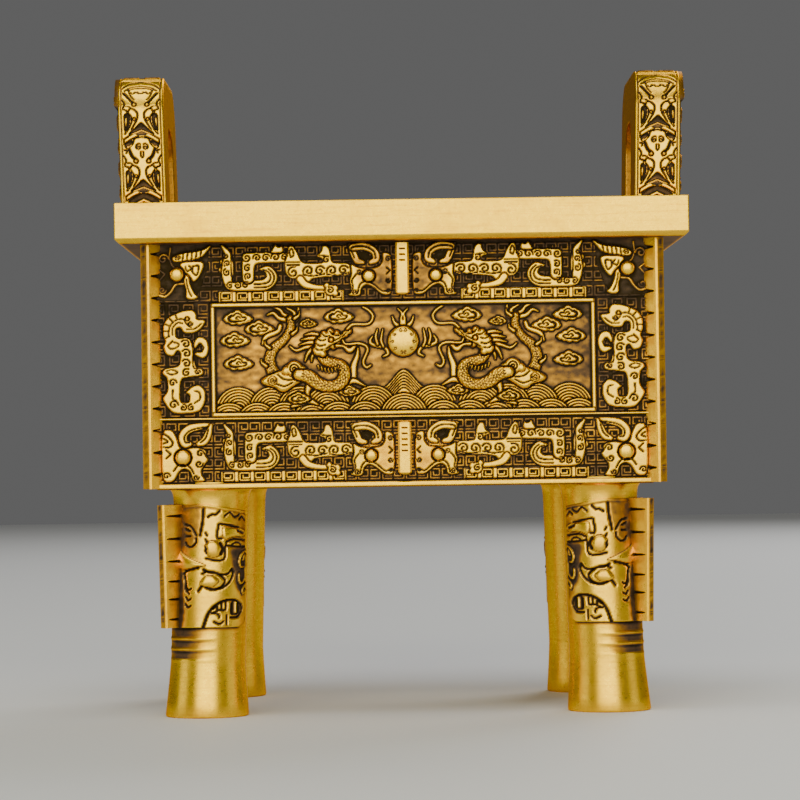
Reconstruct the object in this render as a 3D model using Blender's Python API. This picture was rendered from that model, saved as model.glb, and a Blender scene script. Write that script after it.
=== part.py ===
"""Square incense burner, cast in brass as one piece: a rectangular basin with a plain overhanging
rim, two upright ears, four legs, and relief on every side.

Metres, +Z up. The origin is the middle of the footprint, on the surface that the burner stands on.
The long sides face -Y (front) and +Y (back), and the ears stand over the short sides."""

import math

import bmesh
import bpy
from mathutils import Matrix, Vector
from mathutils.geometry import delaunay_2d_cdt

MM = 0.001

# Basin and rim
RIM_LENGTH = 160 * MM
RIM_WIDTH = 120 * MM
RIM_HEIGHT = 11.3 * MM
RIM_CHAMFER = 1.2 * MM
RIM_EDGE = 0.3 * MM
RIM_OVERHANG = 9.6 * MM
BASIN_HEIGHT = 68.8 * MM
BASIN_WALL = 4 * MM
BASIN_FLOOR = 4 * MM
BASIN_FOOT_EDGE = 0.7 * MM
INNER_FILLET = 3 * MM

# Fields of the walls, from the bottom up, and what is left beside the panels
LOWER_BORDER = 1.9 * MM
LOWER_BAND = 18.3 * MM
PANEL_HEIGHT = 32.1 * MM
PANEL_MARGIN = 16.35 * MM
END_PANEL_MARGIN = 6.9 * MM
PANEL_FRAME = 1.35 * MM

# Notched fins on the basin's corners
FIN_THICKNESS = 3.5 * MM
FIN_REACH = 2.9 * MM
FIN_EDGE = 0.5 * MM
FIN_NOTCHES = 11
FIRST_NOTCH = 4.3 * MM
LAST_NOTCH = 2.6 * MM
NOTCH_DEPTH = 0.7 * MM
NOTCH_HEIGHT = 0.85 * MM
NOTCH_STOP = 1.1 * MM

# Plain flanges on the middle lines of the bands
FLANGE_THICKNESS = 3.7 * MM
FLANGE_REACH = 2.6 * MM
FLANGE_HEIGHT = 15 * MM
FLANGE_EDGE = 0.5 * MM
FLANGE_DROP = 1.6 * MM

# Ears
EAR_LENGTH = 56 * MM
EAR_HEIGHT = 39.3 * MM
EAR_THICKNESS = 13.2 * MM
EAR_SHOULDER = 12 * MM
EAR_HOLE_WIDTH = 24 * MM
EAR_HOLE_HEIGHT = 26 * MM
EAR_HOLE_ROUND = 9 * MM
EAR_PROUD = 0.3 * MM
EAR_LEAN = math.radians(1.4)

# Legs
LEG_HEIGHT = 64 * MM
LEG_INSET_X = 15.4 * MM
LEG_INSET_Y = 11.6 * MM
LEG_SPLAY = 1.9 * MM
BACK_LEG_INSET = 2 * MM
LEG_RADIUS = 10.6 * MM
NECK_RADIUS = 10.7 * MM
NECK_FILLET = 1.6 * MM
FOOT_RADIUS = 11.8 * MM
FOOT_FLARE = 15 * MM
FOOT_EDGE = 0.5 * MM
SLEEVE_TOP = 59.8 * MM
SLEEVE_BOTTOM = 25.4 * MM
SLEEVE_THICKNESS = 1.6 * MM
MASK_RISE = 0.6 * MM
SLEEVE_FLARE = 0.6 * MM
LEG_FIN_THICKNESS = 2.8 * MM
LEG_FIN_REACH = 7.2 * MM
LEG_FIN_TAPER = 2.2 * MM
LEG_FIN_NOTCHES = 6
LEG_FIN_FIRST_NOTCH = 2.5 * MM
LEG_FIN_LAST_NOTCH = 3.1 * MM

# Relief
RELIEF = 0.8 * MM
LOW_RELIEF = 0.35 * MM
HIGH_RELIEF = 1.1 * MM
BOSS_RISE = 1.7 * MM
ROOT = 0.6 * MM
OVERLAP = 1 * MM
LEG_SIDES = 14
ARC_STEPS = 3
SNAP = 0.02 * MM

# How far an outline may pass beside its drawn points, and how wide a stroke has to be to count
FRONT_PLAIN = 0.55 * MM
FRONT_WIDTH = 1.25 * MM
BACK_PLAIN = 1 * MM
BACK_WIDTH = 1.9 * MM
END_PLAIN = 1.2 * MM
END_WIDTH = 2.3 * MM
SMALL_PLAIN = 0.65 * MM

# What follows from the sizes above
HALF_X = RIM_LENGTH / 2 - RIM_OVERHANG
HALF_Y = RIM_WIDTH / 2 - RIM_OVERHANG
RIM_BOTTOM = LEG_HEIGHT + BASIN_HEIGHT
RIM_TOP = RIM_BOTTOM + RIM_HEIGHT
FLOOR_TOP = LEG_HEIGHT + BASIN_FLOOR
LOWER_BAND_BASE = LEG_HEIGHT + LOWER_BORDER
PANEL_BASE = LOWER_BAND_BASE + LOWER_BAND
PANEL_TOP = PANEL_BASE + PANEL_HEIGHT
UPPER_BAND = RIM_BOTTOM - PANEL_TOP

# The figures are drawn in millimetres, left of the middle line, on sheets of these sizes, and are
# fitted to the walls, legs and ears
DRAWN_HALF_LENGTH = 70.4
DRAWN_END_HALF = 56.0
DRAWN_PANEL_HALF = 54.05
DRAWN_PANEL_BASE = 84.2
DRAWN_PANEL_HEIGHT = 32.1
DRAWN_BAND_BASE = 65.9
DRAWN_BAND_HEIGHT = 18.0
DRAWN_UPPER_BAND_HEIGHT = 16.5
DRAWN_LEG_RADIUS = 12.2
DRAWN_LEG_HEIGHT = 64.0
DRAWN_EAR_THICKNESS = 13.2
DRAWN_EAR_HEIGHT = 39.3
DRAWN_EAR_LENGTH = 56.0

PIECES = bpy.data.collections.new("cast_on")


# Outlines: each is a list of (across, up) points with a height


def brush(height, *points):
    """A stroke of changing width: points are (across, up, width) along its middle."""
    left = []
    right = []
    for i, (u, v, width) in enumerate(points):
        before = points[max(i - 1, 0)]
        after = points[min(i + 1, len(points) - 1)]
        along = Vector((after[0] - before[0], after[1] - before[1])).normalized()
        aside = Vector((-along.y, along.x)) * width / 2
        left.append((u + aside.x, v + aside.y))
        right.append((u - aside.x, v - aside.y))
    return left + right[::-1], height


def blob(height, *points):
    return list(points), height


def box(height, u0, v0, u1, v1):
    return [(u0, v0), (u1, v0), (u1, v1), (u0, v1)], height


def disc(height, u, v, radius, sides=10):
    angles = [2 * math.pi * i / sides for i in range(sides)]
    return [(u + radius * math.cos(a), v + radius * math.sin(a)) for a in angles], height


def boss(u, v, radius):
    """A round stud with a domed top."""
    return [disc(HIGH_RELIEF, u, v, radius, 10), disc(BOSS_RISE, u, v, radius * 0.6, 6)]


def mean_width(points):
    """Twice the outline's area over its length, which is about the width of a stroke."""
    area = 0.0
    length = 0.0
    for (u0, v0), (u1, v1) in zip(points, points[1:] + points[:1]):
        area += (u0 * v1 - u1 * v0) / 2
        length += math.hypot(u1 - u0, v1 - v0)
    return 2 * abs(area) / length


def plainer(shapes, allowed, least_width=0.0):
    """The bolder shapes, without the points that lie close to the line between their neighbours."""
    plain = []
    for outline, height in shapes:
        if mean_width(outline) < least_width:
            continue
        points = [Vector(point) for point in outline]
        while len(points) > 4:
            gaps = []
            for i, point in enumerate(points):
                before = points[i - 1]
                after = points[(i + 1) % len(points)]
                along = after - before
                rise = abs(along.x * (point - before).y - along.y * (point - before).x)
                gaps.append(rise / max(along.length, SNAP))
            if min(gaps) > allowed:
                break
            points.pop(gaps.index(min(gaps)))
        plain.append(([(p.x, p.y) for p in points], height))
    return plain


def moved(shapes, du, dv):
    return [([(u + du, v + dv) for u, v in points], height) for points, height in shapes]


def both_sides(shapes):
    """The shapes with their mirror images across the middle line."""
    return shapes + [([(-u, v) for u, v in points[::-1]], height) for points, height in shapes]


def fitted(shapes, scale_u, scale_v, drawn_base, base):
    """Drawn shapes at their real size, with the drawn base line on the real one."""
    real = []
    for points, height in shapes:
        real.append(([(u * scale_u, base + (v - drawn_base) * scale_v) for u, v in points], height))
    return real


# Figures of the panel


def cloud(u, v):
    upper = ((-4.1, -0.6), (-3.4, 1.2), (-1.6, 1.5), (-0.1, 2.1), (1.4, 1.2), (2.7, 0.7))
    lower = ((4.0, 0.1), (3.3, -1.0), (0.6, -1.6), (-3.2, -1.8))
    return [blob(RELIEF, *[(u + a, v + b) for a, b in upper + lower])]


def pearl():
    """The pearl on the middle line, the flames over it and the clusters beside it."""
    top = [
        brush(RELIEF, (-1.2, 109.0, 1.4), (-2.4, 110.2, 0.9), (-3.0, 111.9, 0.4)),
        brush(RELIEF, (0.2, 109.0, 2.2), (-0.5, 111.0, 0.8), (-0.2, 112.6, 0.7), (-1.4, 114.0, 0.4)),
        brush(RELIEF, (2.0, 109.2, 1.9), (2.3, 110.6, 1.0), (0.9, 113.0, 0.4)),
    ]
    beside = [
        brush(
            RELIEF,
            (-5.6, 100.6, 0.6), (-4.3, 101.4, 0.9), (-5.2, 103.0, 0.9),
            (-8.6, 104.0, 1.0), (-9.3, 105.1, 0.8), (-8.5, 106.4, 0.4),
        ),
        brush(RELIEF, (-7.2, 104.0, 0.8), (-7.7, 106.2, 0.7), (-7.2, 108.2, 0.4)),
        brush(RELIEF, (-5.6, 103.4, 0.8), (-6.2, 105.2, 0.7), (-5.7, 108.2, 0.4)),
    ]
    return top + both_sides(beside) + [disc(HIGH_RELIEF, 0.0, 104.8, 4.35, 14)]


def dragon_tail():
    """The tail's arc from the haunch up to its tuft of flames."""
    return [
        brush(
            RELIEF,
            (-36.0, 95.6, 3.6), (-37.3, 98.4, 3.1), (-37.4, 100.9, 2.9), (-36.2, 103.4, 2.7),
            (-34.0, 105.2, 2.4), (-32.3, 107.3, 2.2), (-31.4, 109.6, 2.2), (-31.6, 111.6, 2.0),
        ),
        brush(RELIEF, (-32.0, 111.2, 1.4), (-34.6, 111.7, 1.1), (-36.3, 113.2, 0.9), (-38.0, 112.7, 0.5)),
        brush(RELIEF, (-31.4, 112.0, 1.2), (-33.4, 112.8, 1.0), (-34.4, 114.1, 0.9), (-36.2, 114.8, 0.5)),
        brush(RELIEF, (-31.0, 111.6, 1.2), (-30.4, 113.2, 1.0), (-32.9, 114.8, 0.4)),
        brush(RELIEF, (-30.8, 110.6, 1.2), (-29.3, 112.2, 1.0), (-29.3, 114.8, 0.5)),
        brush(RELIEF, (-34.4, 109.6, 1.2), (-35.2, 108.0, 1.2), (-38.4, 106.6, 1.3), (-39.4, 104.6, 0.8)),
    ]


def dragon_body():
    """Haunch, the loop of the body, and the neck up to the head."""
    return [
        blob(
            RELIEF,
            (-40.3, 94.4), (-39.6, 93.0), (-36.0, 92.2), (-35.0, 91.0), (-33.2, 90.8),
            (-30.4, 92.8), (-28.0, 94.0), (-28.6, 97.2), (-34.0, 97.4), (-38.6, 95.6),
        ),
        brush(
            RELIEF,
            (-29.6, 95.8, 3.2), (-26.6, 95.2, 3.8), (-24.0, 93.2, 3.6), (-21.0, 92.4, 3.2),
            (-18.2, 93.0, 3.4), (-16.6, 95.2, 3.5), (-17.0, 97.8, 3.1), (-19.2, 98.9, 2.8),
            (-21.8, 99.6, 2.8), (-23.2, 102.0, 3.4),
        ),
    ]


def dragon_legs():
    return [
        brush(RELIEF, (-25.6, 94.0, 3.4), (-27.0, 91.4, 1.5), (-26.9, 88.8, 1.4)),
        brush(RELIEF, (-24.2, 87.4, 0.7), (-26.8, 88.5, 1.6), (-29.2, 87.7, 1.4), (-31.4, 86.9, 0.8)),
        brush(RELIEF, (-12.7, 103.0, 0.5), (-13.0, 100.8, 1.2), (-14.0, 97.8, 1.7), (-14.0, 94.2, 1.5)),
        brush(RELIEF, (-17.4, 92.0, 0.6), (-14.2, 93.9, 1.4), (-10.8, 92.4, 0.5)),
    ]


def dragon_head():
    return [
        brush(RELIEF, (-24.0, 105.8, 1.3), (-26.2, 106.0, 1.0), (-28.3, 105.8, 0.4)),
        brush(RELIEF, (-24.0, 104.4, 1.3), (-26.4, 104.8, 1.0), (-28.3, 104.0, 0.4)),
        brush(RELIEF, (-25.0, 103.0, 1.3), (-27.2, 103.5, 1.0), (-30.0, 102.6, 0.8), (-31.8, 103.8, 0.5)),
        brush(RELIEF, (-25.0, 103.2, 1.3), (-26.6, 102.0, 1.0), (-27.6, 99.6, 0.5)),
        blob(
            HIGH_RELIEF,
            (-25.6, 103.4), (-25.0, 101.4), (-23.4, 100.6), (-21.6, 100.9), (-18.6, 103.3),
            (-16.8, 105.6), (-14.8, 107.3), (-15.2, 109.0), (-17.2, 107.5), (-18.6, 108.4),
            (-21.4, 107.0), (-24.4, 105.0),
        ),
        brush(RELIEF, (-18.8, 103.8, 1.0), (-16.8, 103.6, 0.8), (-15.0, 102.4, 1.4), (-13.4, 103.8, 0.8)),
        brush(
            RELIEF,
            (-17.0, 105.4, 0.6), (-16.0, 104.2, 0.7), (-12.0, 104.3, 0.8), (-10.0, 102.8, 0.8),
            (-11.3, 99.2, 0.8), (-10.4, 97.6, 0.8), (-9.2, 98.2, 0.6),
        ),
        brush(
            RELIEF,
            (-15.6, 108.5, 0.9), (-14.0, 109.7, 0.8), (-9.8, 109.8, 0.8), (-8.4, 111.8, 0.8),
            (-9.4, 113.5, 0.8), (-11.2, 114.6, 0.6),
        ),
    ]


def crest(u, v, radius, half_turn, sides, height):
    """One wave of the sea: the part of a disc that stands over the sea's foot."""
    angles = [math.pi / 2 + half_turn * (1 - 2 * i / sides) for i in range(sides + 1)]
    return [blob(height, *[(u + radius * math.cos(a), v + radius * math.sin(a)) for a in angles])]


def peak():
    """The bell-shaped wave on the middle line."""
    bell = ((-7.0, 91.4), (-4.2, 92.9), (-2.1, 95.5), (0.0, 96.9), (2.1, 95.5), (4.2, 92.9), (7.0, 91.4))
    return [blob(LOW_RELIEF, (-7.0, 86.0), *bell, (7.0, 86.0))]


def sea(reach):
    """Two rows of waves, as far out from the middle line as the reach."""
    back_row = [u for u in (-46.4, -38.6, -30.0, -21.4, -8.6) if abs(u) < reach]
    front_row = [u for u in (-49.0, -41.2, -33.6, -25.8, -18.4, -11.0) if abs(u) < reach]
    shapes = []
    for u in back_row:
        shapes += crest(u, 86.1, 6.5, 1.2, 6, LOW_RELIEF)
    for u in front_row:
        shapes += crest(u, 82.3, 5.9, 1.0, 5, RELIEF)
    return peak() + both_sides(shapes) + crest(0.0, 83.5, 6.8, 1.2, 6, RELIEF)


def frame_bars(half, base, height, width):
    top = base + height
    return [
        box(RELIEF, -half, base, half, base + width),
        box(RELIEF, -half, top - width, half, top),
        box(RELIEF, -half, base, width - half, top),
        box(RELIEF, half - width, base, half, top),
    ]


# Figures of the bands and columns


def kui_dragon():
    """The one-footed dragon that walks towards the middle line of a band."""
    tail = brush(
        RELIEF,
        (-50.4, 81.9, 0.8), (-48.9, 79.4, 2.0), (-49.0, 75.0, 3.4), (-48.9, 71.6, 2.4),
        (-47.4, 70.3, 2.2), (-42.0, 70.5, 2.6), (-38.6, 70.7, 2.6), (-36.9, 72.6, 2.8),
        (-37.8, 74.6, 1.8), (-39.8, 74.6, 0.4),
    )
    rump = blob(
        RELIEF,
        (-44.9, 71.0), (-44.9, 79.2), (-44.0, 79.9), (-33.2, 79.9), (-33.8, 77.3),
        (-40.8, 77.1), (-41.6, 76.2), (-41.8, 71.4),
    )
    leaf = blob(RELIEF, (-36.8, 79.7), (-36.4, 81.6), (-34.6, 81.8), (-34.2, 79.7))
    body = blob(
        RELIEF,
        (-33.0, 77.2), (-32.0, 79.8), (-31.9, 81.6), (-30.8, 81.9), (-29.4, 80.2), (-28.4, 77.4),
        (-27.2, 76.7), (-22.0, 76.7), (-22.4, 78.0), (-24.2, 78.6), (-22.6, 80.0), (-22.4, 81.7),
        (-21.0, 81.7), (-20.2, 80.6), (-19.8, 77.5), (-19.2, 76.7), (-14.4, 76.6), (-14.2, 73.0),
        (-25.0, 72.6), (-26.2, 71.2), (-28.4, 71.0), (-28.6, 72.4), (-31.4, 72.4), (-32.8, 74.0),
    )
    arm = brush(RELIEF, (-28.0, 71.4, 1.8), (-25.4, 70.0, 1.5), (-21.4, 69.8, 1.4), (-20.2, 70.4, 0.8))
    return [tail, rump, leaf, body, arm, disc(RELIEF, -20.0, 68.9, 1.9, 8)]


def kui_head():
    """The dragon's head with its eye, mouth and curled horn."""
    face = blob(
        RELIEF,
        (-14.6, 76.6), (-12.6, 75.4), (-9.8, 74.9), (-6.6, 75.4), (-5.4, 77.2), (-5.6, 79.4),
        (-4.6, 79.6), (-2.8, 78.8), (-2.8, 67.6), (-5.6, 67.4), (-8.4, 69.8), (-10.2, 70.5),
        (-11.6, 69.4), (-11.8, 67.2), (-15.6, 67.4), (-14.2, 69.2), (-14.9, 71.8), (-14.2, 73.4),
    )
    horn = [
        brush(RELIEF, (-13.6, 81.6, 1.0), (-12.9, 78.6, 1.4), (-12.0, 76.8, 1.4), (-10.7, 76.5, 1.2)),
        brush(
            RELIEF,
            (-13.9, 81.3, 1.2), (-9.4, 81.3, 1.6), (-7.2, 79.4, 1.6), (-7.4, 77.2, 1.6), (-9.3, 76.6, 1.2),
        ),
    ]
    return [face] + horn + boss(-9.4, 72.9, 1.4)


def lower_mask():
    """The half mask beside a fin on the lower band."""
    face = blob(
        RELIEF,
        (-68.2, 80.8), (-65.0, 80.9), (-63.8, 78.6), (-63.2, 76.0), (-61.8, 75.2), (-58.0, 75.7),
        (-55.2, 74.8), (-54.8, 72.8), (-57.0, 70.2), (-57.2, 68.6), (-55.8, 66.2), (-59.4, 66.2),
        (-60.2, 69.2), (-62.0, 70.0), (-63.4, 69.0), (-64.8, 66.2), (-68.2, 66.2),
    )
    horn = [
        brush(
            RELIEF,
            (-54.0, 82.0, 1.0), (-57.6, 81.7, 1.6), (-60.8, 80.9, 1.9), (-62.2, 78.8, 2.0),
            (-61.4, 76.9, 2.2), (-60.0, 77.2, 1.2),
        ),
        brush(RELIEF, (-54.4, 81.8, 1.4), (-55.4, 79.4, 1.5), (-56.8, 77.4, 1.9), (-57.6, 77.0, 1.0)),
    ]
    return [face] + horn + boss(-62.2, 73.0, 2.1)


def upper_mask():
    """The half mask beside a fin on the upper band."""
    horn = brush(
        RELIEF,
        (-63.6, 78.4, 1.8), (-61.0, 78.9, 2.6), (-57.0, 79.6, 2.2), (-55.0, 80.8, 1.1), (-53.9, 81.8, 0.6),
    )
    ear = blob(
        RELIEF,
        (-62.2, 77.0), (-56.4, 77.1), (-56.6, 74.0), (-58.3, 72.2), (-59.4, 73.4), (-61.8, 75.0),
    )
    jaw = brush(RELIEF, (-60.7, 72.2, 1.4), (-60.2, 69.6, 1.9), (-58.2, 68.3, 1.2))
    lip = brush(LOW_RELIEF, (-61.6, 71.0, 0.9), (-63.6, 70.8, 0.9), (-65.4, 68.4, 0.9), (-67.8, 68.2, 0.9))
    return [horn, ear, jaw, lip] + boss(-63.3, 74.0, 1.75)


def column_dragon():
    """The upright dragon between a fin and the panel."""
    body = blob(
        RELIEF,
        (-67.4, 107.4), (-67.3, 110.4), (-65.8, 112.6), (-62.0, 114.2), (-58.8, 114.5), (-57.8, 113.2),
        (-58.0, 111.7), (-55.0, 111.6), (-56.6, 109.0), (-58.8, 107.8), (-61.6, 107.9), (-62.4, 109.6),
        (-63.8, 109.2), (-63.6, 106.4), (-59.2, 106.5), (-58.6, 98.2), (-56.2, 97.8), (-56.2, 96.0),
        (-59.8, 95.6), (-62.6, 95.2), (-62.9, 88.4), (-60.2, 88.4), (-60.0, 90.6), (-61.4, 91.2),
        (-59.4, 93.0), (-57.2, 93.4), (-55.6, 91.8), (-55.7, 88.4), (-57.4, 85.6), (-64.6, 85.2),
        (-66.6, 87.4), (-67.8, 89.6), (-66.2, 91.8), (-66.3, 95.4), (-67.8, 96.6), (-67.2, 98.0),
        (-62.8, 98.6), (-62.4, 102.4), (-63.4, 103.2), (-64.4, 101.4), (-66.6, 101.8), (-67.4, 104.2),
        (-66.6, 105.6),
    )
    ear = brush(
        RELIEF,
        (-58.4, 104.2, 1.0), (-57.4, 105.8, 1.8), (-55.9, 105.4, 1.9), (-55.5, 103.4, 1.8),
        (-56.2, 101.8, 1.9), (-58.0, 102.0, 1.0),
    )
    return [body, ear]


# Solids from outlines


def inside(outline, u, v):
    """Whether the outline winds round the point."""
    winding = 0
    for (u0, v0), (u1, v1) in zip(outline, outline[1:] + outline[:1]):
        side = (u1 - u0) * (v - v0) - (u - u0) * (v1 - v0)
        if v0 <= v < v1 and side > 0:
            winding += 1
        elif v1 <= v < v0 and side < 0:
            winding -= 1
    return winding != 0


def with_bounds(shapes):
    bounded = []
    for outline, height in shapes:
        us = [u for u, v in outline]
        vs = [v for u, v in outline]
        bounded.append((outline, height, min(us), max(us), min(vs), max(vs)))
    return bounded


def level_at(bounded, u, v):
    """The height of the last shape drawn over the point."""
    for outline, height, u0, u1, v0, v1 in reversed(bounded):
        if u0 <= u <= u1 and v0 <= v <= v1 and inside(outline, u, v):
            return height
    return 0.0


def levelled_triangles(points, edges, bounded):
    """Triangles that keep the edges, each with its height."""
    verts, _, faces, *_ = delaunay_2d_cdt([Vector(p) for p in points], edges, [], 0, SNAP, True)
    levelled = []
    for face in faces:
        u = sum(verts[i].x for i in face) / len(face)
        v = sum(verts[i].y for i in face) / len(face)
        levelled.append((tuple(face), level_at(bounded, u, v)))
    return verts, levelled


def turned_edges(face):
    return zip(face, face[1:] + face[:1])


def step_lines(verts, levelled):
    """The points and edges where the height changes."""
    heights = {}
    for face, height in levelled:
        for a, b in turned_edges(face):
            heights[a, b] = height
    used = {}
    points = []
    edges = []
    for (a, b), height in heights.items():
        if height > heights.get((b, a), 0.0):
            for i in (a, b):
                if i not in used:
                    used[i] = len(points)
                    points.append(tuple(verts[i]))
            edges.append((used[a], used[b]))
    return points, edges


def relief(name, shapes, place, folds=()):
    """A closed solid of the raised shapes on a surface. A later shape covers an earlier one, and
    place(across, up, height) gives the point over the surface. Folds are lines that no face
    crosses, where the surface is curved."""
    bounded = with_bounds(shapes)
    points = []
    edges = []
    for outline in [points_of for points_of, _ in shapes] + [list(fold) for fold in folds]:
        first = len(points)
        points += outline
        edges += [(first + a, first + b) for a, b in turned_edges(tuple(range(len(outline))))]
    verts, levelled = levelled_triangles(points, edges, bounded)
    points, edges = step_lines(verts, levelled)
    for fold in folds:
        edges.append((len(points), len(points) + 1))
        points += fold
    verts, levelled = levelled_triangles(points, edges, bounded)

    heights = {}
    levels = {}
    bm = bmesh.new()
    made = {}

    def corner(i, height):
        if (i, height) not in made:
            made[i, height] = bm.verts.new(place(verts[i].x, verts[i].y, height))
        return made[i, height]

    for face, height in levelled:
        if height > 0:
            bm.faces.new([corner(i, height) for i in face])
            bm.faces.new([corner(i, -ROOT) for i in face[::-1]])
            for a, b in turned_edges(face):
                heights[a, b] = height
                levels.setdefault(a, {-ROOT}).add(height)
    for (a, b), height in heights.items():
        low = heights.get((b, a), -ROOT)
        if low < height:
            rise_a = [h for h in sorted(levels[a]) if low <= h <= height]
            rise_b = [h for h in sorted(levels[b]) if low <= h <= height]
            wall = [corner(a, low)] + [corner(b, h) for h in rise_b] + [corner(a, h) for h in rise_a[:0:-1]]
            bm.faces.new(wall)
    return add_piece(name, bm)


def guide(name, bm, collection):
    """An object that only helps to shape the casting."""
    bmesh.ops.recalc_face_normals(bm, faces=bm.faces)
    mesh = bpy.data.meshes.new(name)
    bm.to_mesh(mesh)
    bm.free()
    made = bpy.data.objects.new(name, mesh)
    collection.objects.link(made)
    made.hide_render = True
    made.display_type = "WIRE"
    return made


def add_piece(name, bm):
    return guide(name, bm, PIECES)


def stacked(rings):
    """A closed mesh through rings of as many points each, capped at both ends."""
    bm = bmesh.new()
    rows = [[bm.verts.new(point) for point in ring] for ring in rings]
    for low, high in zip(rows, rows[1:]):
        for (a, b), (c, d) in zip(turned_edges(tuple(low)), turned_edges(tuple(high))):
            bm.faces.new((a, b, d, c))
    bm.faces.new(rows[0][::-1])
    bm.faces.new(rows[-1])
    return bm


def arc_points(middle_u, middle_v, radius, start, end, steps=ARC_STEPS):
    """Points along an arc, from the start angle to the end angle."""
    angles = [start + (end - start) * i / steps for i in range(steps + 1)]
    return [(middle_u + radius * math.cos(a), middle_v + radius * math.sin(a)) for a in angles]


# Basin, fins and flanges


def rectangle(half_x, half_y, z):
    return [(-half_x, -half_y, z), (half_x, -half_y, z), (half_x, half_y, z), (-half_x, half_y, z)]


def basin():
    """Outside from the bottom edge up to the rim, then down inside to the floor."""
    inner_x = HALF_X - BASIN_WALL
    inner_y = HALF_Y - BASIN_WALL
    rim_x = RIM_LENGTH / 2
    rim_y = RIM_WIDTH / 2
    return stacked([
        rectangle(HALF_X - BASIN_FOOT_EDGE, HALF_Y - BASIN_FOOT_EDGE, LEG_HEIGHT),
        rectangle(HALF_X, HALF_Y, LEG_HEIGHT + BASIN_FOOT_EDGE),
        rectangle(HALF_X, HALF_Y, RIM_BOTTOM),
        rectangle(rim_x - RIM_CHAMFER, rim_y - RIM_CHAMFER, RIM_BOTTOM),
        rectangle(rim_x, rim_y, RIM_BOTTOM + RIM_CHAMFER),
        rectangle(rim_x, rim_y, RIM_TOP - RIM_EDGE),
        rectangle(rim_x - RIM_EDGE, rim_y - RIM_EDGE, RIM_TOP),
        rectangle(inner_x + RIM_EDGE, inner_y + RIM_EDGE, RIM_TOP),
        rectangle(inner_x, inner_y, RIM_TOP - RIM_EDGE),
        rectangle(inner_x, inner_y, FLOOR_TOP + INNER_FILLET),
        rectangle(inner_x - INNER_FILLET, inner_y - INNER_FILLET, FLOOR_TOP),
    ])


def spaced(first, last, count):
    return [first + (last - first) * i / (count - 1) for i in range(count)]


def cut_notches(piece, start, end, half_thickness, heights, frame):
    """Cuts wedges into both faces of a fin, between two distances along it."""
    bm = bmesh.new()
    spread = NOTCH_HEIGHT / 2 * (1 + OVERLAP / NOTCH_DEPTH)
    for sign in (-1, 1):
        mouth = sign * (half_thickness + OVERLAP)
        bottom = sign * (half_thickness - NOTCH_DEPTH)
        for z in heights:
            section = ((mouth, z - spread), (mouth, z + spread), (bottom, z))
            near = [bm.verts.new(frame @ Vector((start, aside, up))) for aside, up in section]
            far = [bm.verts.new(frame @ Vector((end, aside, up))) for aside, up in section]
            for (a, b), (c, d) in zip(turned_edges(tuple(near)), turned_edges(tuple(far))):
                bm.faces.new((a, b, d, c))
            bm.faces.new(near[::-1])
            bm.faces.new(far)
    cut = piece.modifiers.new("Notches", "BOOLEAN")
    cut.operation = "DIFFERENCE"
    cut.solver = "EXACT"
    cut.object = guide(piece.name + "_notches", bm, bpy.context.scene.collection)


def fin_section(root, reach, half, edge):
    """A fin in plan, along its own direction, with its outer edges taken off."""
    return (
        (root, -half), (reach - edge, -half), (reach, edge - half),
        (reach, half - edge), (reach - edge, half), (root, half),
    )


def corner_fin(name, sign_x, sign_y):
    """A fin that runs up a corner of the basin and stands out along the diagonal, notched in front."""
    turn = Matrix.Rotation(math.atan2(sign_y, sign_x), 4, "Z")
    frame = Matrix.Translation((sign_x * HALF_X, sign_y * HALF_Y, 0)) @ turn
    half = FIN_THICKNESS / 2
    root = -half - OVERLAP
    bottom = LEG_HEIGHT + BASIN_FOOT_EDGE / 2
    rings = []
    for z, back in ((bottom, FIN_EDGE), (bottom + FIN_EDGE, 0.0), (RIM_BOTTOM + OVERLAP, 0.0)):
        section = fin_section(root, FIN_REACH - back, half, FIN_EDGE)
        rings.append([frame @ Vector((a, b, z)) for a, b in section])
    fin = add_piece(name, stacked(rings))
    heights = spaced(LEG_HEIGHT + FIRST_NOTCH, RIM_BOTTOM - LAST_NOTCH, FIN_NOTCHES)
    if sign_y < 0:
        cut_notches(fin, root - OVERLAP, FIN_REACH - NOTCH_STOP, half, heights, frame)


def middle_flange(name, turn, wall_distance, base):
    """A plain upright flange on the middle line of a band."""
    frame = Matrix.Rotation(turn, 4, "Z")
    rings = []
    for z in (base, base + FLANGE_HEIGHT):
        reach = wall_distance + FLANGE_REACH
        section = fin_section(wall_distance - OVERLAP, reach, FLANGE_THICKNESS / 2, FLANGE_EDGE)
        rings.append([frame @ Vector((across, -along, z)) for along, across in section])
    add_piece(name, stacked(rings))


# Walls


def wall_place(turn, distance):
    """Puts a drawn point on the wall that looks `turn` round from the front."""
    frame = Matrix.Rotation(turn, 4, "Z")

    def place(u, v, height):
        return frame @ Vector((u, -distance - height, v))

    return place


def panel(waves, clouds):
    """The dragons on either side of the pearl, over the sea."""
    dragon = dragon_tail() + dragon_legs() + dragon_body() + dragon_head()
    shapes = list(waves)
    for u, v in clouds:
        shapes += both_sides(cloud(u, v))
    shapes += both_sides(dragon) + pearl()
    scale_u = HALF_X / DRAWN_HALF_LENGTH
    scale_v = PANEL_HEIGHT / DRAWN_PANEL_HEIGHT
    return fitted(shapes, scale_u, scale_v, DRAWN_PANEL_BASE, PANEL_BASE)


def bands(lower, upper, scale_u):
    scale_low = LOWER_BAND / DRAWN_BAND_HEIGHT
    scale_high = UPPER_BAND / DRAWN_UPPER_BAND_HEIGHT
    low = fitted(both_sides(lower), scale_u, scale_low, DRAWN_BAND_BASE, LOWER_BAND_BASE)
    high = fitted(both_sides(upper), scale_u, scale_high, DRAWN_BAND_BASE, PANEL_TOP)
    return low + high


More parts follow.
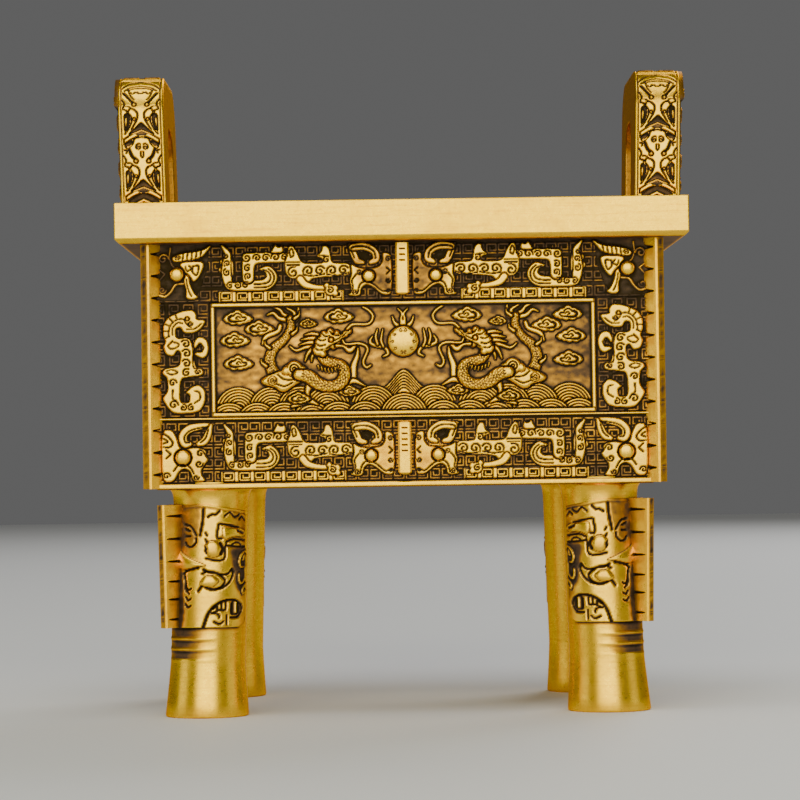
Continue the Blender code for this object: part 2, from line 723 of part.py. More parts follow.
def front_wall():
    scale_u = HALF_X / DRAWN_HALF_LENGTH
    scale_v = PANEL_HEIGHT / DRAWN_PANEL_HEIGHT
    clouds = ((-46.2, 112.0), (-47.1, 105.4), (-46.2, 99.3), (-17.9, 112.4))
    shapes = panel(sea(DRAWN_PANEL_HALF), clouds)
    shapes += fitted(both_sides(column_dragon()), scale_u, scale_v, DRAWN_PANEL_BASE, PANEL_BASE)
    dragon = kui_dragon() + kui_head()
    shapes += bands(dragon + lower_mask(), dragon + upper_mask(), scale_u)
    frame = frame_bars(HALF_X - PANEL_MARGIN, PANEL_BASE, PANEL_HEIGHT, PANEL_FRAME)
    relief("wall_front", plainer(shapes, FRONT_PLAIN, FRONT_WIDTH) + frame, wall_place(0.0, HALF_Y))


def back_wall():
    """The dragons and the sea again, in plainer outlines, between plain columns."""
    scale_u = HALF_X / DRAWN_HALF_LENGTH
    shapes = panel(sea(DRAWN_PANEL_HALF), ())
    dragon = kui_dragon() + kui_head()
    shapes += bands(dragon, dragon, scale_u)
    frame = frame_bars(HALF_X - PANEL_MARGIN, PANEL_BASE, PANEL_HEIGHT, PANEL_FRAME)
    relief("wall_back", plainer(shapes, BACK_PLAIN, BACK_WIDTH) + frame, wall_place(math.pi, HALF_Y))


def end_wall(name, turn):
    """A short side: the panel cut down to its dragons, and the walking dragons of the bands."""
    half = HALF_Y - END_PANEL_MARGIN
    shapes = panel([], ())
    dragon = kui_dragon() + kui_head()
    shapes += bands(dragon, dragon, HALF_Y / DRAWN_END_HALF)
    frame = frame_bars(half, PANEL_BASE, PANEL_HEIGHT, PANEL_FRAME)
    relief(name, plainer(shapes, END_PLAIN, END_WIDTH) + frame, wall_place(turn, HALF_X))


# Legs


def leg_frame(sign_x, sign_y):
    """Carries a leg's own upright axis to its place, splayed outwards towards the foot."""
    inset_x = LEG_INSET_X + (BACK_LEG_INSET if sign_y > 0 else 0.0)
    lean = Matrix.Identity(4)
    for axis, sign in ((0, sign_x), (1, sign_y)):
        lean[axis][2] = -sign * LEG_SPLAY / LEG_HEIGHT
        lean[axis][3] = sign * LEG_SPLAY
    place = Matrix.Translation((sign_x * (HALF_X - inset_x), sign_y * (HALF_Y - LEG_INSET_Y), 0))
    return place @ lean @ Matrix.Rotation(math.atan2(sign_y, sign_x), 4, "Z")


def leg_shaft(name, frame):
    """A round leg with a flared foot and a widened neck under the basin."""
    profile = (
        (FOOT_RADIUS - FOOT_EDGE, 0.0),
        (FOOT_RADIUS, FOOT_EDGE),
        (LEG_RADIUS, FOOT_FLARE),
        (LEG_RADIUS, SLEEVE_TOP),
        (NECK_RADIUS, SLEEVE_TOP + NECK_FILLET),
        (NECK_RADIUS + NECK_FILLET, LEG_HEIGHT),
        (NECK_RADIUS + NECK_FILLET, LEG_HEIGHT + BASIN_FLOOR / 2),
    )
    rings = []
    for radius, z in profile:
        circle = arc_points(0, 0, radius, 0, 2 * math.pi, LEG_SIDES)[:-1]
        rings.append([frame @ Vector((a, b, z)) for a, b in circle])
    add_piece(name, stacked(rings))


def leg_plate():
    """One side of the plate that wraps round a leg, drawn from the fin's line outwards."""
    foot = ((0.0, 25.4), (18.0, 25.4), (20.8, 26.6), (21.8, 29.5))
    head = ((21.8, 57.8), (9.0, 59.8), (0.0, 59.8))
    return [blob(SLEEVE_THICKNESS, *foot, *head)]


def leg_mask():
    """One side of the mask on a front leg: horn, nose, eye and open mouth."""
    plate = SLEEVE_THICKNESS
    high = plate + MASK_RISE
    return [
        blob(high, (12.5, 50.6), (12.5, 55.0), (21.2, 55.0), (21.2, 52.2)),
        blob(high, (8.6, 44.9), (16.0, 45.4), (14.6, 49.4), (9.2, 49.4)),
        blob(high, (7.6, 38.6), (10.5, 41.0), (13.4, 39.6), (16.2, 42.0), (15.4, 38.0), (12.0, 36.0)),
        blob(plate / 2, (9.0, 27.4), (10.4, 31.4), (14.0, 33.4), (18.4, 32.8), (19.0, 29.4), (13.4, 29.6)),
    ]


def leg_sleeve(name, frame, figures):
    """The plate round the outer side of a leg, with its figures."""
    scale_v = LEG_HEIGHT / DRAWN_LEG_HEIGHT
    radius_drawn = DRAWN_LEG_RADIUS * MM

    def place(u, v, height):
        down = (SLEEVE_TOP - v) / (SLEEVE_TOP - SLEEVE_BOTTOM)
        out = LEG_RADIUS + height + (SLEEVE_FLARE * down if height > 0 else 0.0)
        angle = u / radius_drawn
        return frame @ Vector((out * math.cos(angle), out * math.sin(angle), v))

    folds = []
    for i in range(-3, 4):
        u = i * 6 * MM
        folds.append(((u, SLEEVE_BOTTOM - OVERLAP), (u, SLEEVE_TOP + OVERLAP)))
    shapes = fitted(both_sides(leg_plate() + figures), MM, scale_v, 0.0, 0.0)
    relief(name, plainer(shapes, SMALL_PLAIN), place, folds)


def leg_fin(name, frame, notched):
    """The fin down the middle of the plate."""
    half = LEG_FIN_THICKNESS / 2
    tip = LEG_RADIUS + SLEEVE_THICKNESS + LEG_FIN_REACH
    root = LEG_RADIUS - OVERLAP
    rings = []
    for z, reach in ((SLEEVE_BOTTOM, tip - LEG_FIN_TAPER), (SLEEVE_TOP, tip)):
        rings.append([frame @ Vector((a, b, z)) for a, b in fin_section(root, reach, half, FIN_EDGE)])
    fin = add_piece(name, stacked(rings))
    first = SLEEVE_BOTTOM + LEG_FIN_FIRST_NOTCH
    heights = spaced(first, SLEEVE_TOP - LEG_FIN_LAST_NOTCH, LEG_FIN_NOTCHES)
    if notched:
        cut_notches(fin, root - OVERLAP, tip - LEG_FIN_TAPER - NOTCH_STOP, half, heights, frame)


def leg(name, sign_x, sign_y):
    frame = leg_frame(sign_x, sign_y)
    leg_shaft(name + "_shaft", frame)
    leg_sleeve(name + "_plate", frame, leg_mask() if sign_y < 0 else [])
    leg_fin(name + "_fin", frame, sign_y < 0)


# Ears


def ear_outline():
    """An ear seen from its end, as a closed line along Y and up, from one foot to the other."""
    half = EAR_LENGTH / 2
    hole = EAR_HOLE_WIDTH / 2
    quarter = math.pi / 2
    shoulder = EAR_HEIGHT - EAR_SHOULDER
    crown = EAR_HOLE_HEIGHT - EAR_HOLE_ROUND
    outer = arc_points(half - EAR_SHOULDER, shoulder, EAR_SHOULDER, 0, quarter)
    outer += arc_points(EAR_SHOULDER - half, shoulder, EAR_SHOULDER, quarter, 2 * quarter)
    inner = arc_points(EAR_HOLE_ROUND - hole, crown, EAR_HOLE_ROUND, 2 * quarter, quarter)
    inner += arc_points(hole - EAR_HOLE_ROUND, crown, EAR_HOLE_ROUND, quarter, 0)
    return [(half, -OVERLAP)] + outer + [(-half, -OVERLAP), (-hole, -OVERLAP)] + inner + [(hole, -OVERLAP)]


def ear_point(sign, out, y, up):
    """A point of an ear: `out` is measured outwards from the rim's end, before the lean."""
    return Vector((sign * (RIM_LENGTH / 2 + out + math.tan(EAR_LEAN) * up), y, RIM_TOP + up))


def ear_edge_figures():
    """Half of the two cicadas, one over the other, on an ear's narrow side."""
    cicada = [
        disc(RELIEF, 0.0, 17.3, 2.6, 6),
        blob(RELIEF, (0.0, 15.8), (-2.4, 15.6), (-4.9, 16.2), (-2.2, 12.9), (-3.6, 6.0), (0.0, 9.2)),
    ]
    return cicada + moved(cicada, 0.0, 16.5)


def ear_edge_relief(name, sign, side):
    """Relief on the narrow side of an ear, which follows its shoulder to the top."""
    straight = EAR_HEIGHT - EAR_SHOULDER
    scale_u = EAR_THICKNESS / DRAWN_EAR_THICKNESS
    scale_v = EAR_HEIGHT / DRAWN_EAR_HEIGHT
    middle = EAR_PROUD - EAR_THICKNESS / 2

    def place(u, v, height):
        angle = max(v - straight, 0.0) / EAR_SHOULDER
        out = EAR_SHOULDER + height
        y = EAR_LENGTH / 2 - EAR_SHOULDER + out * math.cos(angle)
        up = min(v, straight) + out * math.sin(angle)
        return ear_point(sign, middle + u, side * y, up)

    half = EAR_THICKNESS / 2
    folds = []
    for i in range(ARC_STEPS + 1):
        v = straight + EAR_SHOULDER * math.pi / 2 * i / ARC_STEPS
        folds.append(((-half, v), (half, v)))
    shapes = fitted(both_sides(ear_edge_figures()), scale_u, scale_v, 0.0, 0.0)
    relief(name, plainer(shapes, SMALL_PLAIN), place, folds)


def ear_face_figures():
    """Half of the mask over the hole on an ear's outer face, and the scrolls below it."""
    return [
        blob(
            RELIEF,
            (0.0, 30.0), (-4.0, 29.4), (-9.0, 30.2), (-15.0, 29.4),
            (-17.6, 31.0), (-14.6, 37.4), (0.0, 38.0),
        ),
        disc(HIGH_RELIEF, -6.6, 33.6, 1.9, 6),
        brush(RELIEF, (-18.6, 24.4, 2.2), (-24.6, 23.0, 2.2), (-24.4, 17.6, 2.2)),
        brush(RELIEF, (-18.4, 13.6, 2.2), (-18.6, 8.6, 2.2), (-24.6, 6.6, 2.2)),
    ]


def ear_face_relief(name, sign):
    scale_u = EAR_LENGTH / DRAWN_EAR_LENGTH
    scale_v = EAR_HEIGHT / DRAWN_EAR_HEIGHT

    def place(u, v, height):
        return ear_point(sign, EAR_PROUD + height, -sign * u, v)

    shapes = fitted(both_sides(ear_face_figures()), scale_u, scale_v, 0.0, 0.0)
    relief(name, plainer(shapes, SMALL_PLAIN), place)


def ear(name, sign):
    rings = []
    for out in (EAR_PROUD, EAR_PROUD - EAR_THICKNESS):
        rings.append([ear_point(sign, out, y, up) for y, up in ear_outline()])
    add_piece(name, stacked(rings))
    ear_edge_relief(name + "_front", sign, -1)
    ear_edge_relief(name + "_back", sign, 1)
    ear_face_relief(name + "_mask", sign)


# The casting


def brass():
    material = bpy.data.materials.new("polished_brass")
    material.use_nodes = True
    shader = material.node_tree.nodes["Principled BSDF"]
    shader.inputs["Base Color"].default_value = (0.80, 0.55, 0.20, 1.0)
    shader.inputs["Metallic"].default_value = 1.0
    shader.inputs["Roughness"].default_value = 0.28
    return material


def cast_burner():
    """The basin with everything that is cast on it, as one closed body."""
    bm = basin()
    bmesh.ops.recalc_face_normals(bm, faces=bm.faces)
    mesh = bpy.data.meshes.new("square_burner")
    bm.to_mesh(mesh)
    bm.free()
    mesh.materials.append(brass())
    burner = bpy.data.objects.new("square_burner", mesh)
    bpy.context.scene.collection.objects.link(burner)
    union = burner.modifiers.new("Casting", "BOOLEAN")
    union.operation = "UNION"
    union.solver = "EXACT"
    union.operand_type = "COLLECTION"
    union.collection = PIECES
    return burner


def build():
    for old in list(bpy.data.objects):
        bpy.data.objects.remove(old)
    bpy.context.scene.collection.children.link(PIECES)
    for sign_x, side in ((-1, "left"), (1, "right")):
        for sign_y, end in ((-1, "front"), (1, "back")):
            corner_fin(f"fin_{end}_{side}", sign_x, sign_y)
            leg(f"leg_{end}_{side}", sign_x, sign_y)
        ear(f"ear_{side}", sign_x)
    for name, turn, distance in (
        ("front", 0.0, HALF_Y),
        ("right", math.pi / 2, HALF_X),
        ("back", math.pi, HALF_Y),
        ("left", -math.pi / 2, HALF_X),
    ):
        middle_flange(f"flange_upper_{name}", turn, distance, PANEL_TOP + FLANGE_DROP)
        middle_flange(f"flange_lower_{name}", turn, distance, LOWER_BAND_BASE + FLANGE_DROP)
    front_wall()
    back_wall()
    end_wall("wall_right", math.pi / 2)
    end_wall("wall_left", -math.pi / 2)
    cast_burner()


build()
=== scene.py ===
"""Square incense burner in brass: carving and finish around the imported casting.

Metres in the row frame. Carving is drawn on sheets, in millimetres across u and up v, each with its
height and its darkness, and the sheets are laid on the walls, legs and ears."""

import copy
import math

import bmesh
import bpy
import numpy as np
from mathutils import Matrix, Vector


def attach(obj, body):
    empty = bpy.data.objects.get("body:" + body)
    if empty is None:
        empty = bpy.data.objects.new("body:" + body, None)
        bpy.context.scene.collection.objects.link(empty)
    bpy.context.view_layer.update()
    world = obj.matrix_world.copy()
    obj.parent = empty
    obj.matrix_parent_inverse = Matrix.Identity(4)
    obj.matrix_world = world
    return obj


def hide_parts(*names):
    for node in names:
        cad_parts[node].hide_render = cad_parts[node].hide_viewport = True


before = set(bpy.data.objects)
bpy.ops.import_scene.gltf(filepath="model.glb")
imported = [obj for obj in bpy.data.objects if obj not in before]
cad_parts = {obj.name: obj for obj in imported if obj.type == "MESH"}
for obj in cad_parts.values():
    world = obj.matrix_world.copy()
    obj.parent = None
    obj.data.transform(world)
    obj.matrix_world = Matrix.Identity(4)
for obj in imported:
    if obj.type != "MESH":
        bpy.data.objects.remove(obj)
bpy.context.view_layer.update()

MM = 0.001
NODE = "square_burner"

# The casting's sizes, in millimetres
RIM_X, RIM_Y = 80.0, 60.0
RIM_BOTTOM, RIM_TOP, RIM_CHAMFER = 132.8, 144.1, 1.2
HALF_X, HALF_Y = 70.4, 50.4
BASIN_BOTTOM, FLOOR_TOP, WALL = 64.0, 68.0, 4.0
BORDER_TOP, BAND_BASE, PANEL_BASE, PANEL_TOP = 65.6, 65.9, 84.2, 116.3
PANEL_HALF, END_PANEL_HALF, FRAME_BAR = 54.05, 43.5, 1.35
UPPER_SHIFT = PANEL_TOP - BAND_BASE
END_SCALE = 0.9
EAR_LENGTH, EAR_HEIGHT, EAR_THICKNESS, EAR_SHOULDER = 56.0, 39.3, 13.2, 12.0
EAR_HOLE, EAR_HOLE_TOP, EAR_HOLE_ROUND = 24.0, 26.0, 9.0
EAR_PROUD, EAR_LEAN = 0.3, math.tan(math.radians(1.4))
EAR_STRAIGHT = EAR_HEIGHT - EAR_SHOULDER
LEG_HEIGHT, LEG_X, BACK_LEG_X, LEG_Y, LEG_SPLAY = 64.0, 55.0, 53.0, 38.8, 1.9
LEG_RADIUS, NECK_RADIUS, NECK_FILLET, FOOT_RADIUS, FOOT_FLARE = 10.6, 10.7, 1.6, 11.8, 15.0
SLEEVE_BOTTOM, SLEEVE_TOP, SLEEVE_THICKNESS, SLEEVE_FLARE = 25.4, 59.8, 1.6, 0.6
SLEEVE_REACH, SLEEVE_SAG, SLEEVE_ROUND = 21.8, 2.0, 3.4
LEG_FIN_TIP, LEG_FIN_TAPER, LEG_FIN_HALF = 19.4, 2.2, 1.4
LEG_FIN_NOTCHES = (27.8, 33.4, 38.4, 44.0, 50.3, 56.7)
SHAFT_RINGS = (19.2, 22.1)
FIN_REACH, FIN_HALF = 2.9, 1.75
FIN_BOTTOM, FIN_NOTCHES = 64.35, np.linspace(68.3, 130.2, 11)
FLANGE_REACH, FLANGE_HALF, FLANGE_HEIGHT, FLANGE_DROP = 2.6, 1.85, 15.0, 1.6
UPPER_FLANGE_LINES, LOWER_FLANGE_LINES = (9.6, 11.2, 12.8), (6.6, 8.2, 9.8, 11.4, 13.0)
PEARL_V, PEARL_RADIUS, PEARL_RING = 104.8, 4.35, 3.1
KEY_ROW_V, KEY_ROW_LEFT, KEY_ROW_RIGHT, KEY_ROW_HEIGHT = 67.5, -51.6, -16.4, 3.0

# Distance between the points of a sheet
FRONT_STEP, BACK_STEP, END_STEP = 0.22, 0.42, 0.45
FRONT_SLEEVE_STEP, BACK_SLEEVE_STEP, EAR_FACE_STEP = 0.3, 0.5, 0.4

# Height of the figures, and depth and width of engraved lines
FIGURE, MASK = 0.85, 0.9
FINE, THIN, LINE, FIRM = (0.4, 0.36), (0.4, 0.4), (0.4, 0.42), (0.45, 0.45)
STRAP_LINE, STRAP_EDGE = (0.45, 0.5), (0.45, 0.4)
SLEEVE_FINE, SLEEVE_LINE, SLEEVE_EDGE, SLEEVE_DEEP = (0.45, 0.7), (0.5, 0.75), (0.5, 0.72), (0.55, 0.85)

# Darkness, from polished metal to black
POLISHED, PANEL_TONE, LOW_TONE, GROUND_TONE, LINE_TONE = 0.0, 0.42, 0.58, 0.84, 1.0
# The first of these tones is painted shade under the rim, the third painted shade on the ears' plain faces.
RIM_SHADE_TONE, INSIDE_TONE, EAR_SHADE_TONE, CELL_TONE = 0.72, 0.42, 0.34, 0.72
# The upper band gets darker key ground and head tones than the lower band: painted shade under the rim.
UPPER_KEY_TONE, LOWER_KEY_TONE, UPPER_HEAD_TONE, LOWER_HEAD_TONE = 0.68, 0.5, 0.55, 0.2
# Colour of the metal at each darkness
TARNISH = ((0.0, (1.0, 0.61, 0.02)), (0.22, (0.80, 0.40, 0.02)), (0.45, (0.42, 0.20, 0.03)),
           (0.68, (0.12, 0.068, 0.040)), (0.86, (0.040, 0.028, 0.026)), (1.0, (0.006, 0.005, 0.004)))
GRAZING_COLOUR = (0.95, 0.60, 0.20, 1.0)
FLOOR_COLOUR, FLOOR_SIZE = (0.80, 0.80, 0.79, 1.0), 3.0

# The camera, fitted to the corners of rim, ears and feet
CAMERA_PLACE = (-0.0049, -1.01037, 0.07218)
CAMERA_YAW, CAMERA_PITCH, CAMERA_ROLL = 0.00391, 0.0168, -0.01479
SENSOR_WIDTH, PICTURE_WIDTH, FOCAL_PIXELS = 36.0, 800, 3422


# Sheets


def smooth_line(points, steps=5):
    """A curve through the points, which may carry a width as their third number."""
    p = np.array(points, float)
    p = np.vstack([2 * p[0] - p[1], p, 2 * p[-1] - p[-2]])
    out = []
    for i in range(1, len(p) - 2):
        a, b, c, d = p[i - 1:i + 3]
        for t in np.linspace(0, 1, steps, endpoint=False):
            bend = (2 * a - 5 * b + 4 * c - d) * t**2 + (3 * b - a - 3 * c + d) * t**3
            out.append(0.5 * (2 * b + (c - a) * t + bend))
    out.append(p[-2])
    return np.array(out)


def rounded_loop(points, rounds=2):
    """A closed outline with its corners cut back, twice by default."""
    p = np.array(points, float)
    for _ in range(rounds):
        q = np.roll(p, -1, axis=0)
        p = np.stack([p * 0.8 + q * 0.2, p * 0.2 + q * 0.8], axis=1).reshape(-1, 2)
    return p


def blurred(h, across, up=None):
    """Three box blurs, which come close to a round one."""
    for axis, radius in ((0, up or across), (1, across)):
        radius = max(int(round(radius)), 1)
        for _ in range(3):
            pad = [(0, 0), (0, 0)]
            pad[axis] = (radius + 1, radius)
            c = np.cumsum(np.pad(h, pad, mode="edge"), axis=axis)
            n = 2 * radius + 1
            h = (c[n:] - c[:-n]) / n if axis == 0 else (c[:, n:] - c[:, :-n]) / n
    return h


def mottle(shape, across, up, seed):
    """A smooth random field of about unit spread."""
    field = blurred(np.random.default_rng(seed).standard_normal(shape), across, up)
    return (field - field.mean()) / field.std()


class Sheet:
    """A height map with its darkness, and the shift that its figures are drawn with."""

    def __init__(self, u0, u1, v0, v1, step, tone=POLISHED):
        self.u = np.linspace(u0, u1, int(round((u1 - u0) / step)) + 1)
        self.v = np.linspace(v0, v1, int(round((v1 - v0) / step)) + 1)
        self.h = np.zeros((len(self.v), len(self.u)))
        self.dark = np.full(self.h.shape, tone)
        self.shift = (0.0, 0.0, 1.0, 1.0)

    def at(self, points):
        """Points with the sheet's present shift and scale."""
        du, dv, su, sv = self.shift
        p = np.array(points, float)
        p[..., 0] = p[..., 0] * su + du
        p[..., 1] = p[..., 1] * sv + dv
        return p

    def window(self, p, margin):
        low, high = p[:, :2].min(0) - margin, p[:, :2].max(0) + margin
        i0, i1 = np.searchsorted(self.u, [low[0], high[0]])
        j0, j1 = np.searchsorted(self.v, [low[1], high[1]])
        return (slice(j0, j1), slice(i0, i1)), self.u[None, i0:i1], self.v[j0:j1, None]

    def line_distance(self, p, u, v):
        """Distance from a line of points, less half the line's width where it has one."""
        best = np.full(np.broadcast(u, v).shape, 1e9)
        for a, b in zip(p[:-1], p[1:]):
            along = b[:2] - a[:2]
            size = max(along @ along, 1e-9)
            t = np.clip(((u - a[0]) * along[0] + (v - a[1]) * along[1]) / size, 0, 1)
            d = np.hypot(u - a[0] - t * along[0], v - a[1] - t * along[1])
            if len(a) > 2:
                d = d - (a[2] + (b[2] - a[2]) * t) / 2
            np.minimum(best, d, out=best)
        return best

    def loop_distance(self, p, u, v):
        """Distance from a closed outline, negative inside it."""
        edge = self.line_distance(np.vstack([p, p[:1]]), u, v)
        winding = np.zeros(edge.shape, int)
        for (ua, va), (ub, vb) in zip(p, np.roll(p, -1, axis=0)):
            side = (ub - ua) * (v - va) - (u - ua) * (vb - va)
            winding += ((va <= v) & (v < vb) & (side > 0)).astype(int)
            winding -= ((vb <= v) & (v < va) & (side < 0)).astype(int)
        return np.where(winding != 0, -edge, edge)

    def put(self, area, distance, height, ramp, gap, tone):
        """Raises what lies inside the outline, with a black line round it."""
        inside = np.clip(-distance / ramp, 0, 1)
        profile = height * np.sqrt(1 - (1 - inside) ** 2)
        here, dark = self.h[area], self.dark[area]
        cleared = np.where(distance < gap, np.minimum(here, 0.0), here)
        self.h[area] = np.where(distance < 0, profile, cleared)
        outer = dark + (LINE_TONE - dark) * np.clip((gap + 0.12 - distance) / 0.12, 0, 1)
        inner = tone + (LINE_TONE - tone) * np.clip(1 + distance / 0.16, 0, 1)
        self.dark[area] = np.where(distance < 0, inner, outer)

    def stroke(self, height, *points, ramp=0.35, gap=0.26, steps=5, tone=POLISHED):
        """A raised limb along points that carry its width."""
        p = smooth_line(self.at(points), steps)
        area, u, v = self.window(p, 2.6)
        if u.size and v.size:
            self.put(area, self.line_distance(p, u, v), height, ramp, gap, tone)

    def shape(self, height, *points, ramp=0.35, gap=0.26, rounds=2, tone=POLISHED):
        """A raised body with a closed outline."""
        p = rounded_loop(self.at(points), rounds)
        area, u, v = self.window(p, 1.0)
        if u.size and v.size:
            self.put(area, self.loop_distance(p, u, v), height, ramp, gap, tone)

    def bar(self, height, u0, v0, u1, v1, tone=POLISHED, gap=0.26):
        self.shape(height, (u0, v0), (u1, v0), (u1, v1), (u0, v1), rounds=0, ramp=0.25, tone=tone, gap=gap)

    def disc(self, height, u, v, radius, dome=0.0, ramp=0.35, gap=0.26, tone=POLISHED):
        p = self.at([(u, v)])
        area, uu, vv = self.window(p, radius + 1)
        if uu.size and vv.size:
            d = np.hypot(uu - p[0, 0], vv - p[0, 1])
            self.put(area, d - radius, height, ramp, gap, tone)
            self.h[area] += dome * np.sqrt(np.clip(1 - (d / radius) ** 2, 0, 1))

    def lump(self, height, *discs, ramp=0.6, gap=0.3, tone=POLISHED):
        """One body made of several discs, each given by its middle and radius."""
        p = self.at([d[:2] for d in discs])
        area, uu, vv = self.window(p, 3.0)
        if uu.size and vv.size:
            radii = [d[2] for d in discs]
            away = [np.hypot(uu - a[0], vv - a[1]) - r for a, r in zip(p, radii)]
            self.put(area, np.minimum.reduce(away), height, ramp, gap, tone)

    def tint(self, tone, soft, *points):
        """Turns the metal inside an outline darker or lighter, with a soft edge."""
        p = rounded_loop(self.at(points))
        area, u, v = self.window(p, soft)
        if u.size and v.size:
            share = np.clip(0.5 - self.loop_distance(p, u, v) / soft, 0, 1)
            self.dark[area] += (tone - self.dark[area]) * share * (self.dark[area] < 0.97)

    def cut(self, depth, width, *points, steps=5, straight=False, tone=LINE_TONE):
        """An engraved line, or a raised one where the depth is negative."""
        p = self.at(points)
        if not straight:
            p = smooth_line(p, steps)
        area, u, v = self.window(p, width)
        if u.size and v.size:
            share = np.clip(2.5 * (1 - 2 * self.line_distance(p[:, :2], u, v) / width), 0, 1)
            self.h[area] -= depth * share
            self.dark[area] += (tone - self.dark[area]) * share

    def cuts(self, pen, *lines, **kind):
        """Several engraved lines of one depth and width."""
        for line in lines:
            self.cut(*pen, *line, **kind)

    def strokes(self, height, *lines, **kind):
        for line in lines:
            self.stroke(height, *line, **kind)

    def add(self, rise, width, *points, steps=5, straight=False, tone=LOW_TONE):
        """A fine raised line on what is there."""
        self.cut(-rise, width, *points, steps=steps, straight=straight, tone=tone)

    def coil(self, u, v, radius, turns=1.5, start=0.0, hand=1):
        """Points that wind inwards from a start angle."""
        angles = np.linspace(0, 2 * math.pi * turns, int(14 * turns))
        r = radius * (1 - 0.82 * angles / angles[-1])
        a = start + hand * angles
        return np.stack([u + r * np.cos(a), v + r * np.sin(a)], 1)

    def spiral(self, u, v, radius, depth=0.4, width=0.4, turns=1.4, start=0.0, hand=1):
        self.cut(depth, width, *self.coil(u, v, radius, turns, start, hand), straight=True)

    def curl(self, u, v, radius, rise=0.35, width=0.42, turns=1.3, start=0.0, hand=1, tone=LOW_TONE):
        """A raised spiral."""
        self.add(rise, width, *self.coil(u, v, radius, turns, start, hand), straight=True, tone=tone)

    def key(self, u, v, size, rise=0.35, width=0.42, hand=1, tone=LOW_TONE, tall=1.0):
        """A squared spiral of raised line, as in a band of key pattern."""
        s = size / 2
        t = s * 0.36
        path = [(s, -s), (-s, -s), (-s, s), (s, s), (s, -t), (-t, -t), (-t, t)]
        self.add(rise, width, *[(u + hand * a, v + b * tall) for a, b in path], straight=True, tone=tone)

    def mirrored(self):
        """The sheet with its mirror image to the right, without the middle column twice."""
        other = copy.copy(self)
        other.u = np.concatenate([self.u, -self.u[-2::-1]])
        other.h = np.concatenate([self.h, self.h[:, -2::-1]], axis=1)
        other.dark = np.concatenate([self.dark, self.dark[:, -2::-1]], axis=1)
        return other

    def rows(self, v0, v1):
        """The part of the sheet between two heights."""
        j0, j1 = np.searchsorted(self.v, [v0 - 1e-6, v1 - 1e-6])
        other = copy.copy(self)
        other.v = self.v[j0:j1 + 1]
        other.h, other.dark = self.h[j0:j1 + 1], self.dark[j0:j1 + 1]
        return other

    def age_and_shade(self, seed):
        """Painted shade in the corners beside raised relief, bright worn edges, and uneven middle tones."""
        step = self.u[1] - self.u[0]
        # Below the blurred height, in corners and beside figures, the metal gets painted shade; above it,
        # bright worn edges.
        rise = self.h - blurred(self.h, 0.5 / step)
        self.dark = self.dark + 0.35 * np.clip(-rise / 0.3, 0, 1) - 0.12 * np.clip(rise / 0.3, 0, 1)
        self.dark = np.clip(self.dark, 0, 1)
        streaks = 0.6 * mottle(self.h.shape, 5.0 / step, 0.7 / step, seed)
        grain = 0.5 * mottle(self.h.shape, 0.4 / step, 0.3 / step, seed + 1)
        middle = 2.2 * self.dark * (1 - self.dark)
        self.dark = np.clip(self.dark + 0.22 * middle * (streaks + grain), 0, 1)
        return self

    def sampled(self, u, v):
        """Height and darkness at any points, between the sheet's own."""
        i = np.clip((u - self.u[0]) / (self.u[1] - self.u[0]), 0, len(self.u) - 1.001)
        j = np.clip((v - self.v[0]) / (self.v[1] - self.v[0]), 0, len(self.v) - 1.001)
        i0, j0 = i.astype(int), j.astype(int)
        fi, fj = i - i0, j - j0
        found = []
        for m in (self.h, self.dark):
            low = m[j0, i0] * (1 - fi) + m[j0, i0 + 1] * fi
            high = m[j0 + 1, i0] * (1 - fi) + m[j0 + 1, i0 + 1] * fi
            found.append(low * (1 - fj) + high * fj)
        return found


# Figures of the panel, left of the middle line


def cloud(s, u, v, size=1.0):
    def at(*points):
        return [(u + p[0] * size, v + p[1] * size, *[n * size for n in p[2:]]) for p in points]

    s.lump(FIGURE,
           *at((-2.9, -0.2, 1.15), (-1.7, 0.2, 1.4), (-0.2, 0.8, 1.5), (1.5, 0.1, 1.35), (2.9, -0.3, 1.0),
               (-1.4, -0.7, 1.3), (0.4, -0.8, 1.25), (1.8, -0.6, 1.1), (-3.7, -0.3, 0.5), (3.8, -0.3, 0.4)))
    s.cut(0.55, 0.8 * size, *at((-0.8, -1.1), (-2.2, -0.9), (-2.6, 0.0), (-1.9, 0.6)))
    s.cut(*FIRM, *at((-1.5, 0.5), (-0.4, 1.3), (0.8, 0.8), (1.0, 0.2), (2.2, 0.0), (1.6, -0.8), (-0.4, -1.0)))
    s.cut(0.35, 0.36, *at((0.7, -0.1), (0.0, 0.4), (-0.6, -0.1), (0.0, -0.5)))


def flames_and_pearl(s):
    s.strokes(FIGURE, ((-1.2, 109.0, 1.4), (-2.4, 110.2, 0.9), (-3.0, 111.9, 0.4)),
              ((0.2, 109.0, 2.2), (-0.5, 111.0, 0.8), (-0.2, 112.6, 0.7), (-1.4, 114.0, 0.4)),
              ((-5.6, 100.6, 0.6), (-4.3, 101.4, 0.9), (-5.2, 103.0, 0.9), (-8.6, 104.0, 1.0),
               (-9.3, 105.1, 0.8), (-8.5, 106.4, 0.4)),
              ((-7.2, 104.0, 0.8), (-7.7, 106.2, 0.7), (-7.2, 108.2, 0.4)),
              ((-5.6, 103.4, 0.8), (-6.2, 105.2, 0.7), (-5.7, 108.2, 0.4)))
    s.disc(0.5, 0.0, PEARL_V, PEARL_RADIUS, dome=1.0, ramp=0.6)
    for k in range(9):
        a = math.pi * 2 * (k + 0.5) / 9
        u, v = PEARL_RING * math.cos(a), PEARL_V + PEARL_RING * math.sin(a)
        s.spiral(u, v, 0.55, depth=0.12, width=0.3, turns=1.0, start=a)


